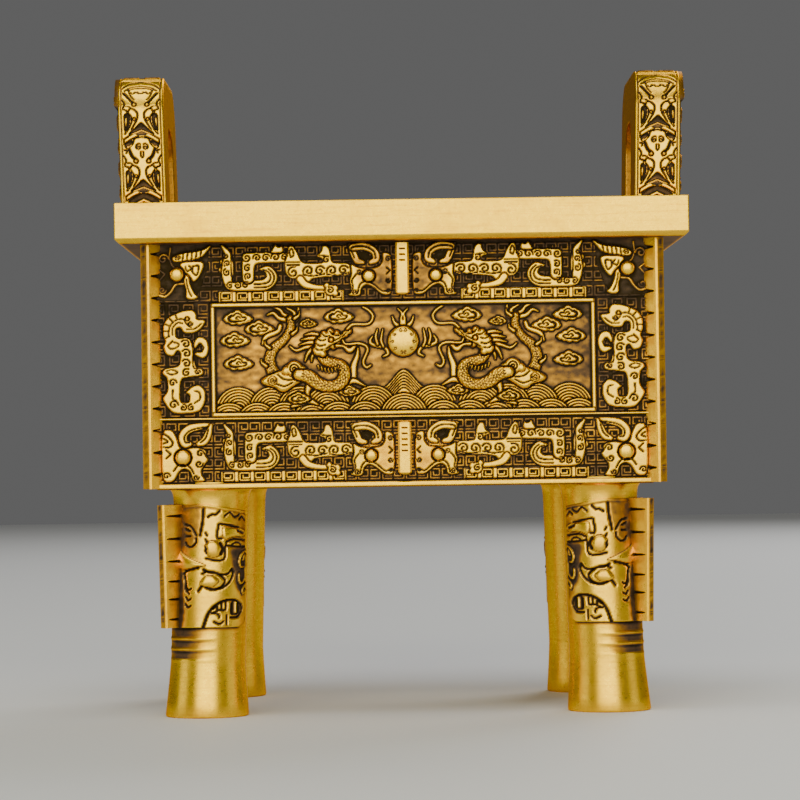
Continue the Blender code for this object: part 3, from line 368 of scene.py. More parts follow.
def scales(s, path, width, pitch=1.5):
    """Rows of scales cut across a body that follows the path."""
    p = smooth_line(s.at(path), 8)
    along = np.concatenate([[0], np.cumsum(np.hypot(*np.diff(p[:, :2], axis=0).T))])
    kept, s.shift = s.shift, (0.0, 0.0, 1.0, 1.0)
    for k, at in enumerate(np.arange(pitch * 0.7, along[-1] - pitch * 0.3, pitch * 0.5)):
        here = np.array([np.interp(at, along, p[:, n]) for n in (0, 1)])
        ahead = np.array([np.interp(at + 0.2, along, p[:, n]) for n in (0, 1)])
        t = (ahead - here) / max(np.hypot(*(ahead - here)), 1e-6)
        n = np.array([-t[1], t[0]])
        for side in ((-0.5, 0.5) if k % 2 else (-1.0, 0.0, 1.0)):
            c = here + n * side * width * 0.42
            bow = np.linspace(-1.5, 1.5, 6)
            arc = [c + (n * math.sin(a) + t * math.cos(a)) * pitch * 0.42 for a in bow]
            s.cut(0.24, 0.26, *arc, straight=True, tone=0.62)
    s.shift = kept


CLOUDS = ((-46.2, 112.0, 1), (-40.2, 109.0, 1), (-47.1, 105.8, 1), (-46.2, 99.3, 1), (-17.9, 112.1, 1),
          (-26.6, 110.2, 0.6), (-30.5, 97.8, 0.8))
TAIL = ((-36.0, 95.6, 3.6), (-37.3, 98.4, 3.1), (-37.4, 100.9, 2.9), (-36.2, 103.4, 2.7),
        (-34.0, 105.2, 2.4), (-32.3, 107.3, 2.2), (-31.4, 109.6, 2.2), (-31.6, 111.6, 2.0))
BODY = ((-29.6, 95.8, 3.2), (-26.6, 95.2, 3.8), (-24.0, 93.2, 3.6), (-21.0, 92.4, 3.2), (-18.2, 93.0, 3.4),
        (-16.6, 95.2, 3.5), (-17.0, 97.8, 3.1), (-19.2, 98.9, 2.8), (-21.8, 99.6, 2.8), (-23.2, 102.0, 3.4))


def dragon(s):
    """Tail, legs, body and head, each over what lies behind it."""
    s.strokes(0.95, ((-32.0, 111.2, 1.4), (-34.6, 111.7, 1.1), (-36.3, 113.2, 0.9), (-38.0, 112.7, 0.5)),
              ((-31.4, 112.0, 1.2), (-33.4, 112.8, 1.0), (-34.4, 114.1, 0.9), (-36.2, 114.8, 0.5)),
              ((-31.0, 111.6, 1.2), (-30.4, 113.2, 1.0), (-32.9, 114.8, 0.4)),
              ((-30.8, 110.6, 1.2), (-29.3, 112.2, 1.0), (-29.3, 114.8, 0.5)),
              ((-34.4, 109.6, 1.2), (-35.2, 108.0, 1.2), (-38.4, 106.6, 1.3), (-39.4, 104.6, 0.8)))
    s.stroke(1.25, *TAIL, ramp=1.1)
    scales(s, [t[:2] for t in TAIL], 1.6)
    for (u, v, _), side in zip(TAIL[1::2], (-1, -1, 1, 1)):
        s.stroke(0.9, (u + side * 1.2, v, 1.1), (u + side * 2.4, v + 0.9, 0.7),
                 (u + side * 2.6, v + 1.8, 0.4))
    s.stroke(1.0, (-25.6, 94.0, 3.4), (-27.0, 91.4, 1.5), (-26.9, 88.8, 1.4), ramp=0.6)
    s.strokes(1.0, ((-24.2, 87.4, 0.7), (-26.8, 88.5, 1.6), (-29.2, 87.7, 1.4), (-31.4, 86.9, 0.8)),
              ((-12.7, 103.0, 0.5), (-13.0, 100.8, 1.2), (-14.0, 97.8, 1.7), (-14.0, 94.2, 1.5)),
              ((-17.4, 92.0, 0.6), (-14.2, 93.9, 1.4), (-10.8, 92.4, 0.5)))
    s.shape(1.2, (-40.3, 94.4), (-39.6, 93.0), (-36.0, 92.2), (-35.0, 91.0), (-33.2, 90.8), (-30.4, 92.8),
            (-28.0, 94.0), (-28.6, 97.2), (-34.0, 97.4), (-38.6, 95.6), ramp=1.1)
    s.lump(1.3, (-30.6, 97.4, 2.4), (-33.0, 96.9, 1.3), (-28.6, 97.0, 1.4), (-36.8, 94.2, 1.3), ramp=0.9,
           gap=0.0)
    s.spiral(-30.8, 97.4, 1.5, width=0.5, turns=1.5)
    s.spiral(-36.8, 94.3, 0.9, hand=-1)
    s.cuts(FIRM, ((-35.4, 96.0), (-33.6, 94.6), (-31.2, 94.4), (-29.4, 95.2)),
           ((-35.6, 93.2), (-33.4, 92.6), (-31.2, 93.6)))
    cloud(s, -15.2, 91.0, 0.75)
    cloud(s, -29.4, 89.2, 0.8)
    s.stroke(1.35, *BODY, ramp=1.3)
    scales(s, [b[:2] for b in BODY], 2.2)
    for k in range(7):
        u, v = -24.0 + 0.95 * k, 98.3 - 1.6 * math.sin(0.5 * k) * 0.6
        s.stroke(0.8, (u, v, 0.55), (u + 0.3, v - 1.1, 0.3), gap=0.15)
    # Mane, head, jaws and whiskers
    for points in (((-23.4, 106.8, 1.2), (-25.6, 107.3, 0.9), (-27.6, 106.9, 0.4)),
                   ((-24.0, 105.8, 1.3), (-26.2, 106.0, 1.0), (-28.6, 105.6, 0.4)),
                   ((-24.0, 104.6, 1.3), (-26.4, 104.8, 1.0), (-29.0, 104.2, 0.4)),
                   ((-25.0, 103.4, 1.3), (-27.2, 103.5, 1.0), (-30.0, 102.6, 0.8), (-31.8, 103.8, 0.5)),
                   ((-25.0, 103.2, 1.3), (-26.6, 102.0, 1.0), (-27.6, 99.6, 0.5)),
                   ((-24.6, 102.4, 1.0), (-25.6, 100.8, 0.8), (-25.8, 99.4, 0.4))):
        s.stroke(1.1, *points)
    s.lump(1.4, (-23.8, 102.6, 1.7), (-22.6, 104.4, 2.3), (-20.9, 105.5, 2.1), (-19.0, 105.6, 1.6),
           (-17.6, 106.1, 1.1), (-16.2, 107.0, 0.9), (-15.3, 107.9, 1.0), (-22.2, 107.0, 1.1),
           (-20.4, 107.8, 1.0), (-18.6, 107.4, 0.8), (-22.6, 101.6, 1.1), (-19.6, 103.8, 1.1), ramp=0.8)
    for points in (((-25.2, 103.6), (-23.9, 102.6), (-22.6, 102.7)),
                   ((-25.0, 104.8), (-23.4, 103.8), (-21.9, 104.0)),
                   ((-24.4, 106.0), (-22.9, 105.2), (-21.8, 105.5)),
                   ((-23.0, 107.4), (-21.8, 106.4), (-20.6, 106.6)),
                   ((-20.6, 107.9), (-19.6, 106.9), (-18.2, 106.6), (-17.0, 107.2)),
                   ((-21.6, 103.0), (-20.2, 103.9), (-18.6, 104.7), (-17.4, 105.2)),
                   ((-16.9, 106.4), (-16.1, 107.4)), ((-19.2, 105.2), (-18.2, 105.7), (-17.3, 106.4))):
        s.cut(0.45, 0.42, *points)
    s.disc(1.7, -20.2, 105.5, 0.65, ramp=0.3, gap=0.24)
    s.stroke(1.2, (-18.8, 103.8, 1.0), (-16.8, 103.6, 0.8), (-15.0, 102.4, 1.4), (-13.4, 103.8, 0.8))
    s.strokes(0.9,
              ((-17.0, 105.4, 0.6), (-16.0, 104.2, 0.7), (-12.0, 104.3, 0.8), (-10.0, 102.8, 0.8),
               (-11.3, 99.2, 0.8), (-10.4, 97.6, 0.8), (-9.2, 98.2, 0.6)),
              ((-15.6, 108.5, 0.9), (-14.0, 109.7, 0.8), (-9.8, 109.8, 0.8), (-8.4, 111.8, 0.8),
               (-9.4, 113.5, 0.8), (-11.2, 114.6, 0.6)))


def wave(s, u, v, radius, half_turn, pitch=0.82):
    """A crest of ribs about one middle, over whatever it covers."""
    p = s.at([(u, v)])
    area, uu, vv = s.window(p, radius + 1)
    if not (uu.size and vv.size):
        return
    d = np.hypot(uu - p[0, 0], vv - p[0, 1])
    aside = np.abs(np.arctan2(uu - p[0, 0], vv - p[0, 1])) < half_turn
    inside = (d < radius) & aside
    swing = np.cos((radius - d) / pitch * 2 * math.pi + math.pi)
    edge = np.clip((radius - d) / 0.25, 0, 1)
    rim = (d < radius + 0.22) & aside
    s.h[area] = np.where(inside, (0.5 + 0.25 * swing) * edge + 0.25, np.where(rim, 0.0, s.h[area]))
    ribs = np.clip(0.34 - 0.8 * swing, 0.0, 0.97)
    s.dark[area] = np.where(inside, ribs, np.where(rim, LINE_TONE, s.dark[area]))


def sea(s, reach):
    """A ribbed rock on the middle line between two rows of waves."""
    bell = [(a, 91.2 + 5.7 * math.exp(-((a / 3.9) ** 2))) for a in np.linspace(-7, 7, 21)]
    s.shape(0.7, (-7, 86.0), *bell, (7, 86.0), rounds=0, tone=0.1)
    for k in range(1, 7):
        s.cut(*LINE, *[(a, b - 0.85 * k) for a, b in bell], straight=True, tone=0.85)
    for u in (-46.4, -37.0, -29.0, -21.4, -8.6):
        if abs(u) < reach:
            wave(s, u, 86.1, 6.5, 1.25)
    for u in (-49.0, -41.2, -33.6, -25.8, -18.4, -11.0):
        if abs(u) < reach:
            wave(s, u, 82.3, 5.9, 1.2)
    wave(s, 0.0, 83.5, 6.8, 1.3)


def panel(s, half):
    """The framed picture. Its shadows are broad tints along the top and the outer side."""
    s.tint(PANEL_TONE, 0.1, (-half, PANEL_BASE), (20, PANEL_BASE), (20, PANEL_TOP), (-half, PANEL_TOP))
    left, right, low, high = -half - 3, -half + 3, PANEL_TOP - 3, PANEL_TOP + 3
    s.tint(0.7, 7.0, (left, low), (20, low), (20, high), (left, high))
    s.tint(0.66, 7.0, (left, PANEL_BASE - 3), (right, PANEL_BASE - 3), (right, PANEL_TOP), (left, PANEL_TOP))
    sea(s, half)
    for u, v, size in CLOUDS:
        if abs(u) < half - 5:
            cloud(s, u, v, size)
    dragon(s)
    flames_and_pearl(s)
    s.bar(0.8, -half, PANEL_BASE, 1, PANEL_BASE + FRAME_BAR)
    s.bar(0.8, -half, PANEL_TOP - FRAME_BAR, 1, PANEL_TOP)
    s.bar(0.8, -half, PANEL_BASE, -half + FRAME_BAR, PANEL_TOP)
    s.bar(0.8, -half + 0.1, PANEL_BASE + 0.1, -half + FRAME_BAR - 0.1, PANEL_TOP - 0.1, gap=0)
    s.bar(0.8, -half + 0.3, PANEL_BASE + 0.1, 1, PANEL_BASE + FRAME_BAR - 0.1, gap=0)
    s.bar(0.8, -half + 0.3, PANEL_TOP - FRAME_BAR + 0.1, 1, PANEL_TOP - 0.1, gap=0)


# Figures of the bands


def kui(s):
    """The one-footed dragon that walks towards the middle line, with the spirals cut in it."""
    s.lump(0.8, (-50.2, 77.4, 0.9), (-50.5, 75.2, 1.0), (-50.0, 72.8, 0.9), ramp=0.3, gap=0.2)
    s.stroke(FIGURE, (-50.4, 81.9, 0.8), (-48.9, 79.4, 2.0), (-49.0, 75.0, 3.4), (-48.9, 71.6, 2.4),
             (-47.4, 70.4, 2.4), (-42.0, 70.6, 3.0), (-38.4, 70.9, 3.2), (-36.6, 72.8, 3.2),
             (-37.6, 75.0, 2.2), (-39.8, 75.2, 0.6))
    s.shape(FIGURE, (-44.9, 71.0), (-44.9, 79.2), (-44.0, 79.9), (-31.6, 79.9), (-31.6, 76.9), (-40.6, 76.9),
            (-41.5, 76.0), (-41.6, 71.4))
    s.shape(FIGURE, (-37.0, 79.6), (-36.4, 80.8), (-35.6, 82.4), (-34.6, 81.3), (-33.4, 82.0), (-33.2, 79.6))
    s.shape(FIGURE, (-33.0, 77.2), (-32.0, 79.8), (-31.9, 81.6), (-30.8, 81.9), (-29.4, 80.2), (-28.4, 77.4),
            (-27.2, 76.7), (-22.0, 76.7), (-22.4, 78.0), (-24.2, 78.6), (-22.6, 80.0), (-22.4, 81.7),
            (-21.0, 81.7), (-20.2, 80.6), (-19.8, 77.5), (-19.2, 76.7), (-14.4, 76.6), (-14.2, 73.0),
            (-25.0, 72.6), (-26.2, 71.2), (-28.4, 71.0), (-28.6, 72.4), (-31.4, 72.4), (-32.8, 74.0),
            gap=0.12)
    s.stroke(FIGURE, (-28.6, 72.2, 2.2), (-27.2, 70.7, 2.0), (-24.2, 69.9, 1.5), (-21.4, 69.8, 1.4), gap=0.1)
    s.lump(FIGURE, (-20.2, 69.0, 1.5), (-18.9, 69.6, 0.9), (-18.9, 68.2, 0.9), (-21.2, 70.4, 0.8), ramp=0.35,
           gap=0.15)
    s.cuts(THIN, ((-39.2, 75.0), (-37.6, 74.4), (-36.9, 72.9), (-37.6, 71.5), (-39.6, 71.0), (-41.6, 71.0)),
           ((-37.6, 75.2), (-36.4, 74.2), (-35.9, 72.7), (-36.6, 70.9), (-38.2, 70.1), (-41.6, 70.0)))
    # Two lines across the shoulder, the leaf in the wing and the slot in the crest
    s.cuts(FINE, ((-32.6, 77.0), (-28.6, 77.0)), ((-32.4, 76.2), (-28.8, 76.2)), straight=True)
    s.cuts(FINE, ((-31.2, 78.4), (-31.6, 80.2), (-30.8, 80.8), (-30.4, 79.0), (-31.2, 78.4)),
           ((-23.4, 78.8), (-21.6, 78.6)), ((-47.8, 79.8), (-47.9, 76.0), (-47.7, 72.6), (-46.6, 71.5)))
    for u, v, r, start, hand in (
        (-26.3, 74.5, 1.55, 3.6, -1), (-23.1, 74.5, 1.45, 0.4, 1), (-19.7, 74.5, 1.55, 3.6, -1),
        (-16.5, 74.6, 1.45, 0.4, 1), (-30.6, 74.1, 1.7, 1.2, 1), (-43.6, 78.4, 1.15, 3.4, 1),
        (-40.7, 78.4, 1.15, 3.4, -1), (-38.2, 78.4, 1.1, 0.4, 1), (-35.5, 78.5, 1.3, 3.4, -1),
        (-33.0, 78.4, 0.95, 0.4, 1), (-43.4, 75.5, 1.0, 1.0, 1), (-43.3, 73.2, 1.0, 4.0, -1),
        (-48.4, 70.7, 0.95, 1.0, 1), (-46.2, 70.7, 0.95, 1.0, -1), (-44.0, 70.8, 0.95, 1.0, 1),
        (-49.4, 79.0, 0.75, 2.0, 1), (-49.1, 76.9, 0.95, 4.0, -1), (-49.2, 74.4, 1.05, 2.0, 1),
        (-21.2, 77.6, 1.0, 1.0, 1), (-20.3, 69.0, 1.0, 2.0, -1),
    ):
        s.spiral(u, v, r, start=start, hand=hand, width=0.46, turns=1.25)
    s.cuts(LINE, ((-27.6, 73.4), (-24.8, 73.0), (-21.8, 73.6)), ((-21.0, 73.4), (-18.0, 73.0), (-15.0, 73.8)),
           straight=True)


def kui_head(s, tone):
    """The dragon's head with its eye, mouth and curled horn."""
    s.shape(MASK, (-14.6, 76.6), (-12.6, 75.4), (-9.8, 74.9), (-6.6, 75.4), (-5.4, 77.2), (-5.6, 79.4),
            (-4.6, 79.6), (-2.8, 78.8), (-2.8, 67.6), (-5.6, 67.4), (-8.4, 69.8), (-10.2, 70.5),
            (-11.6, 69.4), (-11.8, 67.2), (-15.6, 67.4), (-14.2, 69.2), (-14.9, 71.8), (-14.2, 73.4))
    # The head is tinted by tone, which on the upper band is painted shade under the rim.
    s.tint(tone, 3.0, (-12.6, 76.6), (-2.0, 80.0), (-2.0, 67.0), (-8.0, 69.6), (-12.0, 71.6))
    horn = tone * 0.55
    s.stroke(MASK, (-14.4, 81.4, 1.6), (-13.4, 78.9, 2.0), (-12.6, 77.2, 1.9), (-11.0, 76.7, 1.3), tone=horn)
    s.stroke(MASK, (-13.8, 81.0, 2.2), (-10.4, 81.2, 2.4), (-7.7, 79.7, 2.2), (-7.3, 77.6, 2.1),
             (-8.8, 76.7, 1.4), tone=horn, gap=0.12)
    s.cut(*THIN, (-13.4, 78.0), (-14.2, 80.8), (-10.6, 81.2), (-8.0, 79.9), (-7.4, 77.8))
    s.shape(0.0, (-12.2, 79.6), (-9.6, 79.4), (-9.2, 78.2), (-10.0, 77.4), (-11.6, 77.9), gap=0.2, tone=0.92)
    s.disc(MASK, -9.4, 72.9, 1.7, dome=0.55, gap=0.34)
    s.cuts(LINE, ((-14.8, 68.0), (-13.9, 69.6), (-14.2, 71.6), (-12.9, 73.4)),
           ((-12.6, 68.0), (-11.9, 70.4), (-10.4, 71.3), (-8.2, 70.6), (-5.8, 68.6), (-4.6, 68.6)))
    s.spiral(-3.9, 77.6, 0.8)
    s.spiral(-4.0, 71.5, 0.7, hand=-1)
    s.spiral(-3.9, 68.6, 0.6)
    s.spiral(-13.4, 68.4, 0.8, hand=-1)
    s.spiral(-12.0, 74.0, 0.8, hand=-1)
    s.cut(*STRAP_EDGE, (-4.4, 75.2), (-3.4, 74.3), (-4.4, 73.4), straight=True)


def key_ground(s, u0, u1, v0, v1, pitch=3.35, tone=UPPER_KEY_TONE):
    """Rows of dark squared spirals that fill the ground of a field."""
    across = max(int((u1 - u0) / pitch), 1)
    rows = max(int((v1 - v0) / pitch), 1)
    for j in range(rows):
        for i in range(across):
            u = u0 + (i + 0.5) * (u1 - u0) / across
            v = v0 + (j + 0.5) * (v1 - v0) / rows
            s.key(u, v, 2.55, rise=0.4, width=0.56, hand=1 if (3 * i + j * j) % 2 else -1, tone=tone)


def key_row(s, u0, u1, v, height):
    """Black squares with a bright squared spiral in each, and plain bars between them."""
    s.bar(0.55, u0, v - height / 2, u1, v + height / 2)
    count = int((u1 - u0) / 4.3)
    for k in range(count):
        u = u0 + (k + 0.5) * (u1 - u0) / count
        s.bar(-0.1, u - 1.65, v - height / 2 + 0.1, u + 1.65, v + height / 2 - 0.25, tone=0.98, gap=0)
        s.key(u, v, 2.5, rise=0.6, width=0.54, hand=1 if k % 2 else -1, tone=0.04, tall=0.8)


def lower_mask(s):
    """The half mask beside a fin on the lower band."""
    s.shape(MASK, (-68.2, 80.8), (-65.0, 80.9), (-63.8, 78.6), (-63.2, 76.0), (-61.8, 75.4), (-58.0, 75.9),
            (-55.4, 74.8), (-56.0, 73.6), (-54.8, 72.4), (-56.8, 70.2), (-57.2, 68.6), (-55.6, 66.2),
            (-59.4, 66.2), (-60.2, 69.2), (-62.0, 70.0), (-63.4, 69.0), (-64.8, 66.2), (-68.2, 66.2))
    s.stroke(MASK, (-53.8, 82.2, 0.9), (-57.4, 81.7, 1.9), (-60.6, 80.9, 2.3), (-62.2, 78.9, 2.4),
             (-61.6, 76.9, 2.3), (-60.2, 76.8, 1.4))
    s.stroke(MASK, (-54.2, 82.0, 1.0), (-55.0, 79.6, 2.0), (-56.2, 77.5, 2.2), (-57.8, 76.8, 1.4), gap=0.1)
    s.cuts(LINE, ((-55.0, 81.6), (-59.6, 80.7), (-61.6, 79.0), (-61.4, 77.3), (-60.3, 77.2)),
           ((-55.0, 80.8), (-55.8, 78.4), (-57.2, 77.2)))
    s.disc(MASK, -62.2, 73.0, 2.2, dome=0.7, gap=0.4)
    for u, v, r, hand in ((-57.3, 74.1, 1.1, 1), (-57.7, 71.2, 1.1, -1), (-66.9, 67.9, 1.0, 1),
                          (-58.6, 67.4, 0.8, -1)):
        s.spiral(u, v, r, hand=hand, width=0.46, turns=1.2)
    s.cuts((0.45, 0.46), ((-67.8, 79.9), (-66.2, 78.8), (-65.0, 77.2), (-65.8, 76.0), (-67.6, 76.0)),
           ((-67.6, 78.4), (-66.4, 77.6), (-67.6, 77.0)))
    s.cut(0.45, 0.46, (-66.9, 75.2), (-65.6, 74.0), (-66.9, 72.8), straight=True)
    s.cut(*LINE, (-64.9, 69.2), (-63.6, 70.8), (-61.8, 71.0), (-60.2, 70.2), (-59.2, 68.4))


def upper_mask(s):
    """The half mask beside a fin on the upper band, most of it in low dark relief."""
    s.shape(0.0, (-70.4, 66.6), (-58.4, 66.6), (-56.2, 71.0), (-54.6, 76.0), (-54.0, 83.0), (-70.4, 83.0),
            rounds=0, gap=0.0, tone=GROUND_TONE)
    s.stroke(MASK, (-63.6, 78.4, 1.8), (-61.0, 78.9, 2.6), (-57.0, 79.6, 2.2), (-55.0, 80.8, 1.1),
             (-53.9, 81.8, 0.6))
    s.shape(FIGURE, (-62.4, 77.6), (-55.5, 77.8), (-55.8, 75.4), (-57.2, 72.8), (-58.6, 71.6), (-59.6, 73.4),
            (-60.9, 74.6), (-62.2, 75.4))
    s.shape(FIGURE, (-61.3, 74.2), (-59.8, 73.6), (-59.6, 71.6), (-58.3, 68.6), (-57.0, 67.6), (-58.6, 66.8),
            (-60.9, 67.1), (-60.6, 69.6), (-61.3, 71.6), gap=0.12)
    s.cut(0.35, 0.34, (-60.6, 72.6), (-60.2, 70.0), (-59.2, 67.8))
    s.add(0.4, 0.75, (-61.6, 71.4), (-63.6, 71.2), (-65.0, 69.2), (-66.6, 67.9), (-68.2, 68.2), tone=0.3)
    s.disc(0.8, -63.3, 74.0, 2.0, dome=0.8, gap=0.5)
    s.curl(-67.0, 78.4, 1.5, width=0.6, rise=0.5)
    s.curl(-67.4, 69.6, 1.1, width=0.6, rise=0.5, hand=-1)
    s.add(0.35, 0.5, (-68.2, 75.4), (-66.6, 74.2), (-68.0, 72.6), straight=True)
    s.add(0.35, 0.5, (-65.0, 81.6), (-65.2, 78.6), (-64.4, 76.4), (-63.0, 76.0))
    s.cuts(FINE, ((-60.8, 76.2), (-60.4, 74.9), (-59.2, 75.6), (-59.8, 76.4)),
           ((-58.8, 76.2), (-57.1, 76.3), (-57.6, 73.8), (-58.8, 74.6), (-58.8, 76.2)))
    s.spiral(-63.0, 78.5, 0.8)
    for k in range(5):
        along, up = 1.25 * k, 0.2 * k
        s.cut(0.4, 0.32, (-61.6 + along, 77.6 + up), (-61.3 + along, 80.3 + up), straight=True)


def bands(s, masks, half):
    """Both bands, over whatever of the panel's waves hangs below its frame."""
    below = s.v < PANEL_BASE - 0.1
    s.h[below], s.dark[below] = 0.0, GROUND_TONE
    for shift, top in ((0.0, PANEL_BASE - 1.0), (UPPER_SHIFT, RIM_BOTTOM)):
        s.shift = (0.0, 0.0, 1.0, 1.0)
        # The upper band gets the darker tones as painted shade under the rim.
        key_ground(s, -half, 0.0, BAND_BASE + shift, top - 0.3,
                   tone=UPPER_KEY_TONE if shift else LOWER_KEY_TONE)
        s.shift = (0.0, shift, s.figure_scale, 1.0)
        key_row(s, KEY_ROW_LEFT, KEY_ROW_RIGHT, KEY_ROW_V, KEY_ROW_HEIGHT)
        kui(s)
        kui_head(s, UPPER_HEAD_TONE if shift else LOWER_HEAD_TONE)
        if masks:
            (upper_mask if shift else lower_mask)(s)
    s.shift = (0.0, 0.0, 1.0, 1.0)
    s.bar(0.6, -half, PANEL_BASE - 0.75, 1, PANEL_BASE - 0.15, gap=0.2)
    s.bar(0.9, -half, BASIN_BOTTOM - 1, 1, BORDER_TOP)


def column(s):
    """The upright dragon between a fin and the panel."""
    s.shape(FIGURE, (-67.4, 107.4), (-67.3, 110.4), (-65.8, 112.6), (-62.0, 114.2), (-58.8, 114.5),
            (-57.8, 113.2), (-58.0, 111.7), (-55.0, 111.6), (-56.6, 109.0), (-58.8, 107.8), (-61.6, 107.9),
            (-62.4, 109.6), (-63.8, 109.2), (-63.6, 106.4), (-59.2, 106.5), (-58.6, 98.2), (-56.2, 97.8),
            (-56.2, 96.0), (-59.8, 95.6), (-62.6, 95.2), (-62.9, 88.4), (-60.2, 88.4), (-60.0, 90.6),
            (-61.4, 91.2), (-59.4, 93.0), (-57.2, 93.4), (-55.6, 91.8), (-55.7, 88.4), (-57.4, 85.6),
            (-64.6, 85.2), (-66.6, 87.4), (-67.8, 89.6), (-66.2, 91.8), (-66.3, 95.4), (-67.8, 96.6),
            (-67.2, 98.0), (-62.8, 98.6), (-62.4, 102.4), (-63.4, 103.2), (-64.4, 101.4), (-66.6, 101.8),
            (-67.4, 104.2), (-66.6, 105.6))
    s.stroke(FIGURE, (-58.4, 104.2, 1.0), (-57.4, 105.8, 1.8), (-55.9, 105.4, 1.9), (-55.5, 103.4, 1.8),
             (-56.2, 101.8, 1.9), (-58.0, 102.0, 1.0))
    s.cut(0.4, 0.34, (-57.9, 103.0), (-56.9, 104.6), (-56.0, 103.8), (-56.6, 102.6))
    # The comb down the back of the head, the eye, and the lines of the jaw
    for k in range(6):
        a = 1.9 + 0.42 * k
        out = (-62.2 + 5.0 * math.cos(a), 108.6 + 4.9 * math.sin(a))
        back = (-62.2 + 3.7 * math.cos(a), 108.6 + 3.6 * math.sin(a))
        s.cut(0.4, 0.32, out, back, straight=True)
    s.cuts((0.35, 0.32),
           ((-65.8, 107.2), (-65.4, 109.8), (-63.6, 111.6), (-61.6, 111.8), (-60.8, 110.6), (-59.4, 109.4)),
           ((-64.6, 107.4), (-64.6, 109.4), (-63.2, 110.8), (-61.8, 110.6)))
    s.cut(*FINE, (-60.6, 109.0), (-58.6, 109.0), (-56.6, 110.4))
    s.disc(1.0, -60.5, 111.9, 0.5, ramp=0.25, gap=0.2)
    s.spiral(-59.7, 110.6, 0.7, hand=-1)
    s.cut(0.4, 0.34, (-66.0, 104.4), (-64.8, 105.4), (-62.9, 104.8), (-63.9, 103.7), (-65.4, 103.6),
          (-66.0, 104.4))
    for u, v, r, start, hand in ((-61.0, 104.9, 1.3, 2.6, -1), (-60.8, 102.2, 1.3, 2.6, -1),
                                 (-60.9, 99.4, 1.3, 2.6, -1), (-60.9, 96.8, 1.2, 1.0, 1),
                                 (-64.8, 94.0, 1.1, 0.0, 1), (-64.6, 87.8, 1.3, 0.0, 1),
                                 (-61.9, 87.0, 1.0, 1.5, -1), (-59.7, 87.0, 1.0, 1.5, 1),
                                 (-57.8, 96.9, 0.8, 0.0, 1)):
        s.spiral(u, v, r, start=start, hand=hand, width=0.48, turns=1.2)
    s.cut(*LINE, (-58.8, 106.0), (-58.9, 98.6), (-57.0, 98.2))
    s.cut(0.35, 0.36, (-66.6, 97.3), (-65.0, 97.7), (-63.4, 96.9), (-65.0, 96.3), (-66.4, 96.9))
    s.cuts(FINE, ((-64.8, 92.0), (-64.8, 89.6), (-63.9, 89.0)),
           ((-58.8, 88.2), (-57.2, 89.4), (-57.4, 91.2), (-58.6, 91.6)))


# Figures of the legs and ears


